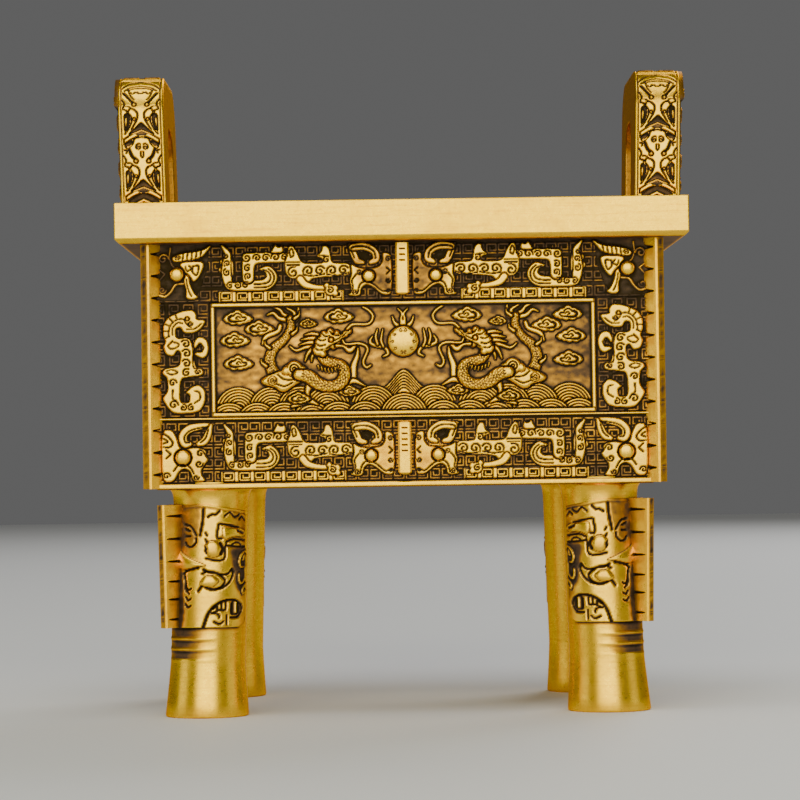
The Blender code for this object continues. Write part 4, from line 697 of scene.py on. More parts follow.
def leg_mask(s):
    """One side of the mask on a leg: u from the fin's line, here to the left, and true height."""
    # Painted shade: the tints beside the fin and towards the sleeve's far edge. The first, under the basin,
    # is the brow's darker textured metal and painted shade.
    s.tint(0.4, 2.6, (0.0, 61.0), (-8.0, 61.0), (-7.8, 53.0), (-4.6, 46.5), (0.0, 46.5))
    s.tint(0.62, 1.6, (0.5, 61.0), (-2.6, 61.0), (-3.2, 52.0), (-2.2, 46.5), (0.5, 46.5))
    s.tint(0.3, 3.5, (-15.0, 61.0), (-22.4, 61.0), (-22.4, 24.0), (-20.4, 24.0), (-19.6, 40.0), (-17.0, 52.0))
    s.tint(0.84, 1.2, (0.5, 42.0), (-2.7, 41.5), (-3.2, 25.0), (0.5, 25.0))
    s.cut(0.5, 0.9, (-8.0, 58.8), (-7.9, 55.4), (-7.2, 51.2), tone=0.9)
    s.cuts(SLEEVE_FINE, ((-9.4, 56.4), (-10.6, 57.2), (-11.6, 57.3), (-12.8, 58.6)),
           ((-14.2, 57.2), (-15.8, 58.5), (-17.2, 57.4), (-18.2, 57.8), (-19.0, 58.4)),
           ((-19.0, 57.0), (-20.0, 57.8), (-21.0, 57.0)))
    # The spiral beside the fin, and the leaf over it
    s.cuts(SLEEVE_LINE, ((-2.6, 54.2), (-4.4, 53.7), (-6.2, 51.2)), ((-2.8, 53.0), (-4.2, 52.4)),
           ((-3.0, 50.9), (-4.4, 50.9)),
           ((-2.9, 49.2), (-3.6, 48.2), (-5.0, 48.1), (-6.1, 49.2), (-6.0, 50.4)))
    # Horn block, nose and brow lines
    s.cut(*SLEEVE_EDGE, (-18.6, 54.6), (-13.2, 54.8), (-12.4, 54.0), (-12.2, 51.0), (-13.4, 50.8))
    s.shape(0.55, (-13.4, 51.2), (-13.2, 54.2), (-17.6, 54.4), (-20.4, 54.2), (-21.3, 52.9), (-20.2, 51.8),
            (-16.4, 51.6), (-14.4, 50.4), gap=0.0, ramp=0.8, tone=0.06)
    s.cut(0.5, 1.1, (-18.2, 53.6), (-20.0, 53.0), tone=0.7)
    s.cut(*SLEEVE_EDGE, (-14.8, 49.8), (-16.6, 50.8), (-19.2, 51.0), (-21.2, 50.6))
    s.cut(0.5, 0.8, (-15.0, 48.8), (-19.4, 48.8), (-21.6, 48.6))
    s.cut(0.45, 0.66, (-16.6, 49.4), (-18.4, 50.2), (-19.6, 49.4))
    s.cut(*SLEEVE_EDGE, (-9.0, 44.6), (-13.2, 44.5), (-14.4, 45.6), (-14.6, 48.6), (-14.9, 50.0))
    s.disc(0.15, -11.0, 47.6, 2.4, dome=0.5, ramp=1.4, gap=0.0, tone=0.12)
    s.cut(0.55, 1.2, (-13.0, 49.2), (-13.8, 47.8), (-13.2, 46.4))
    for v in (51.8, 50.0, 47.9, 46.9):
        s.cut(0.45, 0.66, (-8.8, v), (-9.2, v - 0.7))
    # Cheek wing beside the fin
    s.shape(0.8, (-0.4, 47.8), (-3.0, 45.6), (-6.8, 43.8), (-9.6, 42.8), (-6.4, 42.2), (-3.2, 41.4),
            (-0.4, 42.2), gap=0.0, ramp=2.4, tone=POLISHED)
    s.cuts(SLEEVE_DEEP, ((-2.6, 40.6), (-3.8, 41.4), (-6.9, 42.2)),
           ((-2.8, 40.4), (-3.2, 38.0), (-3.4, 35.8), (-4.4, 34.8)))
    # Eye with its long outer corner
    s.cut(*SLEEVE_DEEP, (-8.4, 41.6), (-9.6, 41.0), (-12.0, 40.8), (-14.0, 39.6), (-14.4, 38.2),
          (-12.8, 36.4), (-10.2, 36.2), (-8.2, 37.0), (-7.0, 35.6))
    s.cut(*SLEEVE_LINE, (-8.0, 40.4), (-9.4, 41.2))
    s.cut(*SLEEVE_DEEP, (-13.2, 40.4), (-15.4, 40.8), (-16.6, 42.2), (-17.0, 41.2), (-16.0, 38.6),
          (-14.0, 36.8), (-12.4, 36.4))
    s.shape(0.5, (-7.2, 37.4), (-8.8, 40.0), (-11.0, 40.2), (-12.9, 38.6), (-11.4, 36.9), (-9.0, 36.8),
            ramp=1.6, gap=0.0, tone=0.1)
    # The open mouth with its key-like teeth
    s.cut(0.55, 0.95, (-8.6, 25.4), (-9.8, 29.0), (-11.6, 31.4), (-14.4, 33.0), (-17.6, 33.2), (-19.6, 31.8),
          (-19.9, 29.8), (-18.6, 28.4), (-16.4, 28.2))
    s.shape(-0.4, (-16.3, 32.8), (-18.4, 32.4), (-19.2, 31.0), (-19.0, 29.6), (-17.8, 28.9), (-16.0, 29.2),
            gap=0.2, tone=0.84)
    s.add(0.95, 0.7, (-17.5, 32.4), (-17.5, 29.6), straight=True, tone=0.05)
    s.cuts(SLEEVE_LINE, ((-11.2, 30.6), (-12.3, 31.3), (-12.4, 30.1), (-11.6, 29.8)),
           ((-13.7, 32.4), (-13.6, 30.6), (-12.9, 30.4)), ((-14.9, 32.8), (-14.8, 30.6), (-14.0, 30.2)))
    s.cut(*SLEEVE_EDGE, (-10.8, 29.4), (-12.6, 29.2), (-13.0, 28.2))
    s.cut(*SLEEVE_FINE, (-11.6, 27.0), (-13.2, 26.4), (-14.2, 27.2))
    s.cut(0.45, 0.6, (-15.0, 29.0), (-15.1, 26.2), straight=True)
    # Curled leaves at the inner edge, on darker ground
    s.tint(0.72, 1.4, (-15.4, 48.6), (-22.4, 48.6), (-22.4, 34.0), (-18.0, 36.0), (-16.8, 42.0))
    s.strokes(0.5,
              ((-21.2, 47.4, 0.7), (-19.6, 46.6, 0.8), (-18.8, 44.6, 0.8), (-19.2, 43.0, 0.7),
               (-20.2, 42.8, 0.6)), ((-20.6, 46.4, 0.6), (-20.2, 44.8, 0.6)),
              ((-21.4, 46.0, 0.5), (-21.0, 41.0, 0.6), (-20.8, 39.0, 0.6), (-19.4, 38.0, 0.7),
               (-18.6, 39.4, 0.8), (-18.8, 41.0, 0.6)),
              ((-21.2, 37.2, 0.6), (-20.0, 36.2, 0.7), (-20.2, 34.8, 0.7), (-21.2, 35.2, 0.5)))
    for v in (36.2, 33.4, 31.4):
        s.cut(*SLEEVE_LINE, (-3.4, v + 0.6), (-4.0, v - 0.3), (-5.0, v + 0.1))


def ear_cicada(s, base, crowned):
    """One cicada on an ear's narrow side, drawn by the dark cells and lines round it."""
    def at(*points):
        return [(p[0], base + p[1], *p[2:]) for p in points]

    def cell(*points):
        s.shape(0.0, *at(*points), ramp=0.3, gap=0.08, rounds=1, tone=CELL_TONE)

    # The hollows beside the arm, beside the leaf and between the legs
    if crowned:
        s.cut(0.5, 0.85, *at((-4.9, 5.2), (-3.6, 3.6), (-2.2, 1.9)))
        s.cuts((0.4, 0.5), at((-5.4, 6.9), (-3.0, 9.4), (0.6, 10.7)),
               at((-4.6, 6.0), (-2.8, 7.4), (0.6, 8.4)))
        s.cut(*THIN, *at((-3.4, 6.4), (-1.8, 7.0), (0.6, 7.2)))
        s.cut(0.4, 0.45, *at((-3.0, 5.4), (-2.2, 4.9), (-1.2, 5.6), (-0.4, 5.0), (0.5, 5.4)))
        s.cut(*THIN, *at((-3.4, 6.2), (-2.8, 4.0), (-1.9, 2.8)))
    else:
        cell((-5.0, 6.2), (-2.4, 7.5), (-3.3, 5.6), (-4.6, 5.0))
        s.cut(0.5, 0.95, *at((-4.0, 5.4), (-3.4, 3.9), (-2.8, 2.6), (-1.7, 1.7)))
        s.cut(0.4, 0.5, *at((-3.4, 5.6), (-2.5, 6.6), (-2.0, 7.8), (0.6, 8.4)))
        s.spiral(-0.95, base + 5.4, 0.9, start=1.0, width=0.5)
        s.cut(*STRAP_LINE, *at((-0.3, 4.0), (-0.2, 2.6), (0.6, 2.2)))
        s.cut(0.4, 0.45, *at((-5.2, 4.6), (-4.2, 4.4), (-4.6, 3.6)))
    s.disc(0.75, -1.85, base + 1.35, 0.5, ramp=0.3, gap=0.26)
    s.cut(*STRAP_LINE, *at((-5.4, 2.9), (-4.6, 1.4), (-5.2, 0.1), (-4.0, -0.5), (-3.6, -1.0)))
    s.cut(0.35, 0.4, *at((-4.4, 0.8), (-3.4, 0.7), (-2.6, 0.1)))
    cell((-4.9, -1.7), (-3.7, -1.1), (-3.1, -2.7), (-3.4, -4.4), (-4.7, -7.3))
    s.shape(0.55, *at((-4.7, -2.6), (-4.0, -2.4), (-4.0, -4.0), (-4.6, -5.9)), gap=0.1)
    s.cuts(STRAP_LINE,
           at((-3.8, -0.9), (-3.0, 0.0), (-1.7, -0.3), (-0.9, -1.5), (-1.2, -3.1), (-1.9, -4.4),
              (-2.8, -5.9)), at((-3.6, -1.2), (-2.8, -2.3), (-2.7, -3.5), (-3.4, -5.3), (-4.7, -7.2)))
    s.disc(0.7, -1.95, base - 3.0, 0.34, ramp=0.2, gap=0.2)
    cell((1.0, -3.9), (-0.2, -4.0), (-1.6, -5.4), (-3.9, -7.4), (-2.2, -7.2), (-0.4, -6.4), (1.0, -6.4))
    cell((1.0, -6.0), (-0.6, -6.0), (-2.2, -6.9), (-0.8, -7.6), (1.0, -7.6))


def ear_strap(step):
    """Half of the strap along an ear's narrow side, from its foot to the middle of the crown."""
    half = EAR_THICKNESS / 2 - 0.05
    length = EAR_STRAIGHT + EAR_SHOULDER * math.pi / 2 + EAR_LENGTH / 2 - EAR_SHOULDER
    s = Sheet(-half, 0.0, 0.0, length, step, POLISHED)
    s.h[:] = 0.6
    ear_cicada(s, 29.4, True)
    ear_cicada(s, 13.0, False)
    for top in (22.4, 6.0):
        s.cuts(FIRM, ((-5.1, top - 1.8), (-2.8, top - 0.3), (0.6, top + 1.1)),
               ((-5.1, top - 3.1), (-2.8, top - 1.7), (-0.9, top - 0.9)),
               ((-5.1, top - 1.8), (-5.1, top - 3.1)), straight=True)
    s.shape(0.0, (1, 5.6), (-2.2, 4.3), (-4.4, 2.9), (-4.4, -1.0), (1, -1.0), ramp=0.3, gap=0.08, rounds=0,
            tone=CELL_TONE)
    s.stroke(0.6, (-3.9, 0.4, 0.9), (-2.4, 1.9, 0.8), (0.6, 3.4, 0.8), tone=0.1)
    s.stroke(0.5, (-2.0, -1.0, 0.6), (-2.0, 1.0, 0.6), tone=0.2)
    s.cuts(STRAP_EDGE, ((-half + 0.9, 0.0), (-half + 0.9, 40.2), (0.6, 40.2)),
           ((-half + 0.9, 41.4), (-half + 0.9, length)), ((-half + 0.9, 41.4), (0.6, 41.4)), straight=True)
    for k in range(3):
        s.key(-half + 3.6, 45.0 + 5.2 * k, 3.6, rise=0.3, width=0.7, hand=1 if k % 2 else -1, tone=0.75)
    s.h -= 0.45 * np.clip(1 - (s.u[None, :] + half) / 0.5, 0, 1) ** 2
    return s.mirrored().age_and_shade(31)


def ear_face():
    """The outer face: a mask over the hole, proud of the scrolls on its legs."""
    half = EAR_LENGTH / 2
    s = Sheet(-half, 0.0, 0.0, EAR_HEIGHT, EAR_FACE_STEP, CELL_TONE)
    for u, v, r, hand in ((-23.6, 25.4, 2.4, 1), (-17.2, 22.6, 2.2, -1), (-23.4, 18.8, 2.4, -1),
                          (-17.0, 15.4, 2.2, 1), (-23.4, 12.0, 2.4, 1), (-17.0, 8.6, 2.2, -1),
                          (-23.4, 5.4, 2.2, -1), (-17.2, 2.4, 1.6, 1)):
        s.curl(u, v, r, rise=0.65, width=0.9, turns=1.4, start=1.5, hand=hand, tone=0.12)
    s.shape(0.9, (-half - 1, 29.6), (1, 29.6), (1, EAR_HEIGHT + 1), (-half - 1, EAR_HEIGHT + 1), rounds=0,
            tone=0.5)
    s.stroke(1.3, (0.0, 30.4, 3.4), (0.0, 34.4, 2.6), (0.0, 37.6, 1.4), ramp=0.9)
    s.stroke(1.2, (-2.6, 31.2, 1.0), (-5.6, 31.0, 1.4), (-9.0, 31.6, 1.2), (-11.2, 33.4, 0.9), ramp=0.5)
    s.disc(1.1, -6.6, 33.8, 1.9, dome=0.6)
    s.strokes(1.2,
              ((-3.4, 36.2, 1.2), (-7.0, 37.0, 1.4), (-11.4, 36.2, 1.6), (-14.0, 33.6, 1.8),
               (-13.2, 31.4, 1.4), (-11.6, 32.0, 0.8)),
              ((-16.4, 36.2, 1.0), (-19.4, 34.6, 1.6), (-20.2, 31.8, 1.6), (-17.4, 31.2, 1.0)), ramp=0.6)
    s.curl(-22.6, 31.8, 1.6, rise=0.5, width=0.7, tone=0.12)
    s.bar(0.9, -EAR_HOLE / 2 - 1.5, 0.0, -EAR_HOLE / 2, EAR_HOLE_TOP - EAR_HOLE_ROUND)
    return s.mirrored().age_and_shade(33)


# Meshes


def raw_mesh(name, points, faces, patina_and_shade, smooth=True):
    mesh = bpy.data.meshes.new(name)
    mesh.vertices.add(len(points))
    mesh.vertices.foreach_set("co", np.asarray(points, np.float32).ravel())
    mesh.loops.add(faces.size)
    mesh.loops.foreach_set("vertex_index", faces.astype(np.int32).ravel())
    mesh.polygons.add(len(faces))
    mesh.polygons.foreach_set("loop_start", np.arange(0, faces.size, faces.shape[1], dtype=np.int32))
    mesh.polygons.foreach_set("loop_total", np.full(len(faces), faces.shape[1], np.int32))
    mesh.update(calc_edges=True)
    mesh.polygons.foreach_set("use_smooth", np.full(len(faces), smooth))
    # The darkness attribute holds patina in the carving and painted shade.
    attribute = mesh.attributes.new("patina_and_shade", "FLOAT", "POINT")
    attribute.data.foreach_set("value", np.asarray(patina_and_shade, np.float32).ravel())
    return mesh


def rows_mesh(name, points, patina_and_shade, closed=False, outward=None, smooth=True):
    """A mesh through rows of points, each row a ring where it is closed. It faces the outward
    direction at its middle where that is given, and away from its axis otherwise."""
    rows, columns = points.shape[:2]
    last = columns if closed else columns - 1
    i, j = np.meshgrid(np.arange(last), np.arange(rows - 1))
    a, b = j * columns + i, j * columns + (i + 1) % columns
    faces = np.stack([a, b, b + columns, a + columns], axis=-1).reshape(-1, 4)
    flat = points.reshape(-1, 3)
    middle = faces[(rows // 2) * last + last // 2]
    normal = np.cross(flat[middle[1]] - flat[middle[0]], flat[middle[3]] - flat[middle[0]])
    if outward is None:
        outward = flat[middle[0]] - points[rows // 2].mean(axis=0)
    if normal @ outward < 0:
        faces = faces[:, ::-1]
    return raw_mesh(name, flat * MM, faces, patina_and_shade, smooth)


def laid_mesh(name, sheet, place, back=0.8, u=None, v=None):
    """A sheet laid on a surface, with its border turned back into what is behind it. Where u and v
    are given, the mesh has those points and takes its height and darkness from the sheet."""
    if u is None:
        u, v = np.meshgrid(sheet.u, sheet.v)
        h, dark = sheet.h, sheet.dark
    else:
        h, dark = sheet.sampled(u, v)
    u, v, dark = (np.pad(m, 1, mode="edge") for m in (u, v, dark))
    h = np.pad(h, 1, constant_values=-back)
    points = place(u, v, h)
    j, i = h.shape[0] // 2, h.shape[1] // 2
    outward = (place(u, v, h + 1.0) - points)[j, i]
    return rows_mesh(name, points, dark, outward=outward)


def add(name, mesh, material):
    made = bpy.data.objects.new(name, mesh)
    bpy.context.scene.collection.objects.link(made)
    made.data.materials.append(material)
    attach(made, "root")
    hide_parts(NODE)
    return made


def solid(name, bm, material, bevel, patina_and_shade):
    """A closed body with its edges rounded. Its last argument gives the darkness at each of its points,
    patina and painted shade.
    """
    bmesh.ops.recalc_face_normals(bm, faces=bm.faces)
    mesh = bpy.data.meshes.new(name)
    bm.to_mesh(mesh)
    bm.free()
    mesh.polygons.foreach_set("use_smooth", np.ones(len(mesh.polygons), bool))
    attribute = mesh.attributes.new("patina_and_shade", "FLOAT", "POINT")
    for spot, vertex in zip(attribute.data, mesh.vertices):
        spot.value = patina_and_shade(vertex.co / MM)
    made = add(name, mesh, material)
    edges = made.modifiers.new("Edges", "BEVEL")
    edges.width = bevel * MM
    edges.segments = 3
    edges.limit_method = "ANGLE"
    edges.angle_limit = math.radians(32)
    made.modifiers.new("Normals", "WEIGHTED_NORMAL").keep_sharp = True


# Brass


def brass(name, brushed=0.0):
    """Polished brass that darkens with the darkness attribute, which holds patina and painted shade, and with
    broad stains.
    """
    material = bpy.data.materials.new(name)
    material.use_nodes = True
    nodes, links = material.node_tree.nodes, material.node_tree.links
    shader = nodes["Principled BSDF"]
    shader.inputs["Specular Tint"].default_value = GRAZING_COLOUR
    place = nodes.new("ShaderNodeTexCoord")

    def noise(scale, detail=4.0, rough=0.55, stretch=(1.0, 1.0, 1.0)):
        mapping = nodes.new("ShaderNodeMapping")
        mapping.inputs["Scale"].default_value = stretch
        links.new(place.outputs["Object"], mapping.inputs["Vector"])
        node = nodes.new("ShaderNodeTexNoise")
        node.inputs["Scale"].default_value = scale
        node.inputs["Detail"].default_value = detail
        node.inputs["Roughness"].default_value = rough
        links.new(mapping.outputs["Vector"], node.inputs["Vector"])
        return node.outputs["Fac"]

    def spread(value, low, high, to_low=0.0, to_high=1.0):
        node = nodes.new("ShaderNodeMapRange")
        ends = {"From Min": low, "From Max": high, "To Min": to_low, "To Max": to_high}
        for socket, number in ends.items():
            node.inputs[socket].default_value = number
        links.new(value, node.inputs["Value"])
        return node.outputs["Result"]

    def maths(kind, a, b):
        node = nodes.new("ShaderNodeMath")
        node.operation = kind
        node.use_clamp = True
        for socket, value in zip(node.inputs, (a, b)):
            if isinstance(value, float):
                socket.default_value = value
            else:
                links.new(value, socket)
        return node.outputs[0]

    depth = nodes.new("ShaderNodeAttribute")
    depth.attribute_name = "patina_and_shade"
    stain = spread(noise(45.0, 6.0, 0.6), 0.5, 0.8, 0.0, 0.16)
    speck = spread(noise(1100.0, 3.0), 0.5, 0.8, 0.0, 0.12)
    tone = maths("ADD", depth.outputs["Fac"], maths("ADD", stain, speck))
    if brushed:
        tone = maths("ADD", tone, spread(noise(60.0, 6.0, 0.7, (1.0, 1.0, 24.0)), 0.52, 0.75, 0.0, 0.16))
    ramp = nodes.new("ShaderNodeValToRGB")
    while len(ramp.color_ramp.elements) < len(TARNISH):
        ramp.color_ramp.elements.new(0.5)
    for element, (position, colour) in zip(ramp.color_ramp.elements, TARNISH):
        element.position = position
        element.color = (*colour, 1.0)
    links.new(tone, ramp.inputs["Fac"])
    links.new(ramp.outputs["Color"], shader.inputs["Base Color"])
    links.new(spread(tone, 0.35, 1.0, 1.0, 0.25), shader.inputs["Metallic"])
    worn = spread(noise(500.0, 4.0, 0.6), 0.3, 0.8, 0.0, 0.10)
    links.new(maths("ADD", worn, spread(tone, 0.0, 1.0, 0.24, 0.62)), shader.inputs["Roughness"])
    bump = nodes.new("ShaderNodeBump")
    bump.inputs["Strength"].default_value = 0.30
    bump.inputs["Distance"].default_value = 0.00010
    grain = noise(1500.0, 3.0)
    if brushed:
        lines = maths("MULTIPLY", noise(90.0, 5.0, 0.7, (1.0, 1.0, 26.0)), brushed)
        grain = maths("ADD", maths("MULTIPLY", grain, 0.4), lines)
    links.new(grain, bump.inputs["Height"])
    links.new(bump.outputs["Normal"], shader.inputs["Normal"])
    return material


# The object


def wall_place(turn, distance):
    """Lays a sheet on an upright wall that faces the front, turned about the middle."""
    c, s = math.cos(turn), math.sin(turn)

    def place(u, v, h):
        y = -distance - h
        return np.stack([u * c - y * s, u * s + y * c, v], axis=-1)

    return place


def wall(name, turn, distance, half, step, panel_half, masks, scale_u, seed):
    """A carved wall in three pieces: lower band, panel and columns, upper band."""
    s = Sheet(-half, 0.0, BASIN_BOTTOM + 0.35, RIM_BOTTOM + 0.3, step, GROUND_TONE)
    s.figure_scale = scale_u
    key_ground(s, -half, -panel_half, PANEL_BASE, PANEL_TOP)
    panel(s, panel_half)
    bands(s, masks, half)
    if masks:
        column(s)
    s = s.mirrored().age_and_shade(seed)
    for part, low, high in (("lower", s.v[0], PANEL_BASE), ("middle", PANEL_BASE, PANEL_TOP),
                            ("upper", PANEL_TOP, s.v[-1] + 1)):
        add(f"{name}_{part}", laid_mesh(name, s.rows(low, high), wall_place(turn, distance)), relief_brass)


def box_rings(bm, rings):
    """Joins rectangles, given by their half sizes and height, into a closed body."""
    rows = []
    for x, y, z in rings:
        corners = ((-x, -y), (x, -y), (x, y), (-x, y))
        rows.append([bm.verts.new((a * MM, b * MM, z * MM)) for a, b in corners])
    for low, high in zip(rows, rows[1:]):
        for k in range(4):
            bm.faces.new((low[k], low[(k + 1) % 4], high[(k + 1) % 4], high[k]))
    bm.faces.new(rows[0][::-1])
    bm.faces.new(rows[-1])


def basin():
    """Rim, inside and underside, behind the carved walls."""
    bm = bmesh.new()
    ix, iy = HALF_X - WALL, HALF_Y - WALL
    under = RIM_CHAMFER + 1.0

    def patina_and_shade(p):
        # Painted shade under the rim: its underside is painted dark. The lower part, inside floor and
        # underside, is darker too.
        in_rim_shade = abs(p.z - RIM_BOTTOM) < 0.1 and abs(p.x) < RIM_X - RIM_CHAMFER - 0.5
        if in_rim_shade:
            return RIM_SHADE_TONE
        return INSIDE_TONE if p.z < FLOOR_TOP + 4 else POLISHED

    box_rings(bm, [
        (HALF_X - 0.7, HALF_Y - 0.7, BASIN_BOTTOM),
        (HALF_X - 0.3, HALF_Y - 0.3, BASIN_BOTTOM + 0.6),
        (HALF_X - 0.3, HALF_Y - 0.3, RIM_BOTTOM),
        (RIM_X - under, RIM_Y - under, RIM_BOTTOM),
        (RIM_X - RIM_CHAMFER, RIM_Y - RIM_CHAMFER, RIM_BOTTOM),
        (RIM_X, RIM_Y, RIM_BOTTOM + RIM_CHAMFER),
        (RIM_X, RIM_Y, RIM_TOP),
        (ix, iy, RIM_TOP),
        (ix, iy, FLOOR_TOP + 3),
        (ix - 3, iy - 3, FLOOR_TOP),
    ])
    solid("basin", bm, plain_brass, 0.4, patina_and_shade)


def notched_fin(name, place, low, high, root, tip, half, notches, wide=0.55, depth=0.7):
    """A fin whose sides are cut by wedges that open towards its root. `tip` is a function of z."""
    near = np.array([-0.7, -0.5, -0.35, -0.2, -0.08, 0.0, 0.08, 0.2, 0.35, 0.5, 0.7])
    z = np.concatenate([np.arange(low, high, 1.3), [high]] + [n + near for n in notches])
    z = np.unique(np.clip(z, low, high))
    side = np.array([0.0, 0.35, 0.6, 0.8, 0.92])
    a, b, open_to = [], [], []
    end = tip(z)
    for share in side:
        along = root + (end - 1.1 - root) * share
        a.append(along)
        b.append(half)
        open_to.append(wide * (1 - share))
    for back, aside in ((1.1, half), (0.45, half), (0.0, half - 0.45), (0.0, 0.12)):
        a.append(end - back)
        b.append(aside)
        open_to.append(0.0)
    a = np.stack(a, axis=1)
    b = np.broadcast_to(np.array(b), a.shape).copy()
    from_notch = z[:, None] - np.array(notches)[None, :]
    gap = np.abs(from_notch).min(axis=1)[:, None]
    reach = np.array(open_to)[None, :]
    share = np.where(reach > 0, np.clip(1.3 - gap / np.maximum(reach + 0.12, 1e-6), 0, 1), 0.0)
    b -= depth * share
    dark = np.clip(1.6 * share, 0, 1)
    # Painted shade: the sides darken towards the root.
    dark[:, :2] += 0.12
    # Painted shade on the sides just below each notch.
    pitch = abs(notches[1] - notches[0])
    below = from_notch / pitch
    below = np.where(below < 0, 9.0, below).min(axis=1)
    dark[:, :5] += np.clip((below[:, None] - 0.45) * 4, 0, 1) * (below[:, None] < 1.1) * 0.16
    random = np.random.default_rng(5)
    dark[:, -1] = np.clip(0.5 + 0.2 * random.standard_normal(len(z)), 0.1, 1)
    dark[:, -2] = 0.22
    a = np.concatenate([a, a[:, ::-1]], axis=1)
    b = np.concatenate([b, -b[:, ::-1]], axis=1)
    dark = np.concatenate([dark, dark[:, ::-1]], axis=1)
    points = place(a, b, np.broadcast_to(z[:, None], a.shape))
    # The ends turn in to the fin's middle, so that it has no open edge
    first, last = points[:1].mean(axis=1, keepdims=True), points[-1:].mean(axis=1, keepdims=True)
    points = np.concatenate([np.repeat(first, a.shape[1], axis=1), points,
                             np.repeat(last, a.shape[1], axis=1)])
    dark = np.pad(dark, ((1, 1), (0, 0)), mode="edge")
    add(name, rows_mesh(name, points, np.clip(dark, 0, 1), closed=True, smooth=False), relief_brass)


def corner_fin(name, sx, sy):
    turn = math.atan2(sy, sx)
    c, s = math.cos(turn), math.sin(turn)

    def place(a, b, z):
        return np.stack([sx * HALF_X + a * c - b * s, sy * HALF_Y + a * s + b * c, z], axis=-1)

    def tip(z):
        return np.full(z.shape, FIN_REACH)

    notched_fin(name, place, FIN_BOTTOM, RIM_BOTTOM + 0.5, -FIN_HALF - 1.0, tip, FIN_HALF, FIN_NOTCHES)


def flange(name, turn, distance, base, lines):
    """A plain upright flange on the middle line, with lines cut across its face near the top."""
    top = base + FLANGE_HEIGHT
    c, s = math.cos(turn), math.sin(turn)
    z = [base, base + 0.5, top - 0.5, top]
    for v in lines:
        z += [v - 0.3, v, v + 0.3]
    z = np.unique(np.clip(z, base, top))
    cut = np.where(np.abs(z[:, None] - np.array(lines)[None, :]).min(axis=1) < 0.05, 0.28, 0.0)
    end = np.where((z == base) | (z == top), 0.5, 0.0)
    out, aside = [], []
    edge = FLANGE_HALF - 0.5
    ridges = ((FLANGE_REACH + 1.0, FLANGE_HALF, 0), (0.5, FLANGE_HALF, 0), (0.0, edge, 0),
              (0.0, edge * 0.68, 0), (0.0, edge * 0.55, 1))
    for back, half, lined in ridges:
        out.append(FLANGE_REACH - back - end * (back < 1) - cut * lined)
        aside.append(half - end)
    out, aside = np.stack(out, axis=1), np.stack(aside, axis=1)
    out = np.concatenate([out, out[:, ::-1]], axis=1)
    aside = np.concatenate([aside, -aside[:, ::-1]], axis=1)
    y = -distance - out
    points = np.stack([aside * c - y * s, aside * s + y * c, np.broadcast_to(z[:, None], out.shape)], axis=-1)
    lined = np.array([ridge[2] for ridge in ridges])
    dark = 0.9 * (cut[:, None] > 0) * np.concatenate([lined, lined[::-1]])[None, :]
    # Painted shade where the flange's sides meet the wall.
    dark[:, [0, -1]] = 0.8
    add(name, rows_mesh(name, points, dark, closed=True, smooth=False), relief_brass)


def leg_place(sx, sy):
    """Carries a point of a leg's own frame, whose first axis runs outwards along the diagonal."""
    x, y = sx * (LEG_X if sy < 0 else BACK_LEG_X), sy * LEG_Y
    turn = math.atan2(sy, sx)
    c, s = math.cos(turn), math.sin(turn)

    def place(a, b, z):
        out = LEG_SPLAY * (1 - z / LEG_HEIGHT)
        return np.stack([x + sx * out + a * c - b * s, y + sy * out + a * s + b * c, z], axis=-1)

    return place


def swell(z, middles, wide):
    """Rings round a shaft: 1 at each middle height and soon 0 beside it."""
    return sum(np.exp(-(((z - middle) / wide) ** 2)) for middle in middles)


def leg_shaft(name, place, sides=72):
    """Foot, shaft with two worn rings beside the fin, and the neck under the basin."""
    profile = ((0.0, 0.0), (FOOT_RADIUS - 0.5, 0.0), (FOOT_RADIUS - 0.12, 0.16), (FOOT_RADIUS, 0.6),
               (FOOT_RADIUS - 0.3, 4.0), (FOOT_RADIUS - 0.75, 9.0), (LEG_RADIUS, FOOT_FLARE))
    fine = [(LEG_RADIUS, v) for v in np.arange(FOOT_FLARE + 0.35, SLEEVE_BOTTOM, 0.35)]
    neck = [(NECK_RADIUS + NECK_FILLET * (1 - math.cos(a)), SLEEVE_TOP + 1.2 + 3.2 * math.sin(a))
            for a in np.linspace(0, math.pi / 2, 7)]
    plain = [(LEG_RADIUS, v) for v in (25.5, 26.5, 40.0, SLEEVE_TOP)]
    rings = np.array([*profile, *fine, *plain, *neck, (NECK_RADIUS + NECK_FILLET, LEG_HEIGHT + 2)])
    angle = np.linspace(-math.pi, math.pi, sides, endpoint=False)[None, :]
    radius, z = rings[:, :1], rings[:, 1:]
    near = np.clip(1.15 - np.abs(angle) / 0.95, 0, 1)
    ring = swell(z, SHAFT_RINGS, 0.45)
    band = ((z > 16.4) & (z < SLEEVE_BOTTOM)).astype(float)
    lift = near * band * (0.5 * ring - 0.25)
    shaft_tarnish_and_shade = np.clip((0.8 - np.abs(angle)) / 0.6, 0, 1) * band * (0.66 - 0.6 * np.clip(ring, 0, 1))
    # Painted shade just below each of the two rings.
    shaft_tarnish_and_shade = shaft_tarnish_and_shade + near * swell(z, [middle - 0.8 for middle in SHAFT_RINGS], 0.3) * 0.5
    # Painted shade under the sleeve's lower edge, on the sleeve's side of the shaft.
    under_sleeve = np.clip((1.8 - np.abs(angle)) / 0.1, 0, 1)
    shaft_tarnish_and_shade = shaft_tarnish_and_shade + 0.85 * swell(z, [SLEEVE_BOTTOM], 0.7) * under_sleeve
    r = radius + lift * (radius > 1)
    points = place(r * np.cos(angle), r * np.sin(angle), np.broadcast_to(z, r.shape))
    add(name, rows_mesh(name, points, np.clip(shaft_tarnish_and_shade, 0, 1), closed=True), plain_brass)


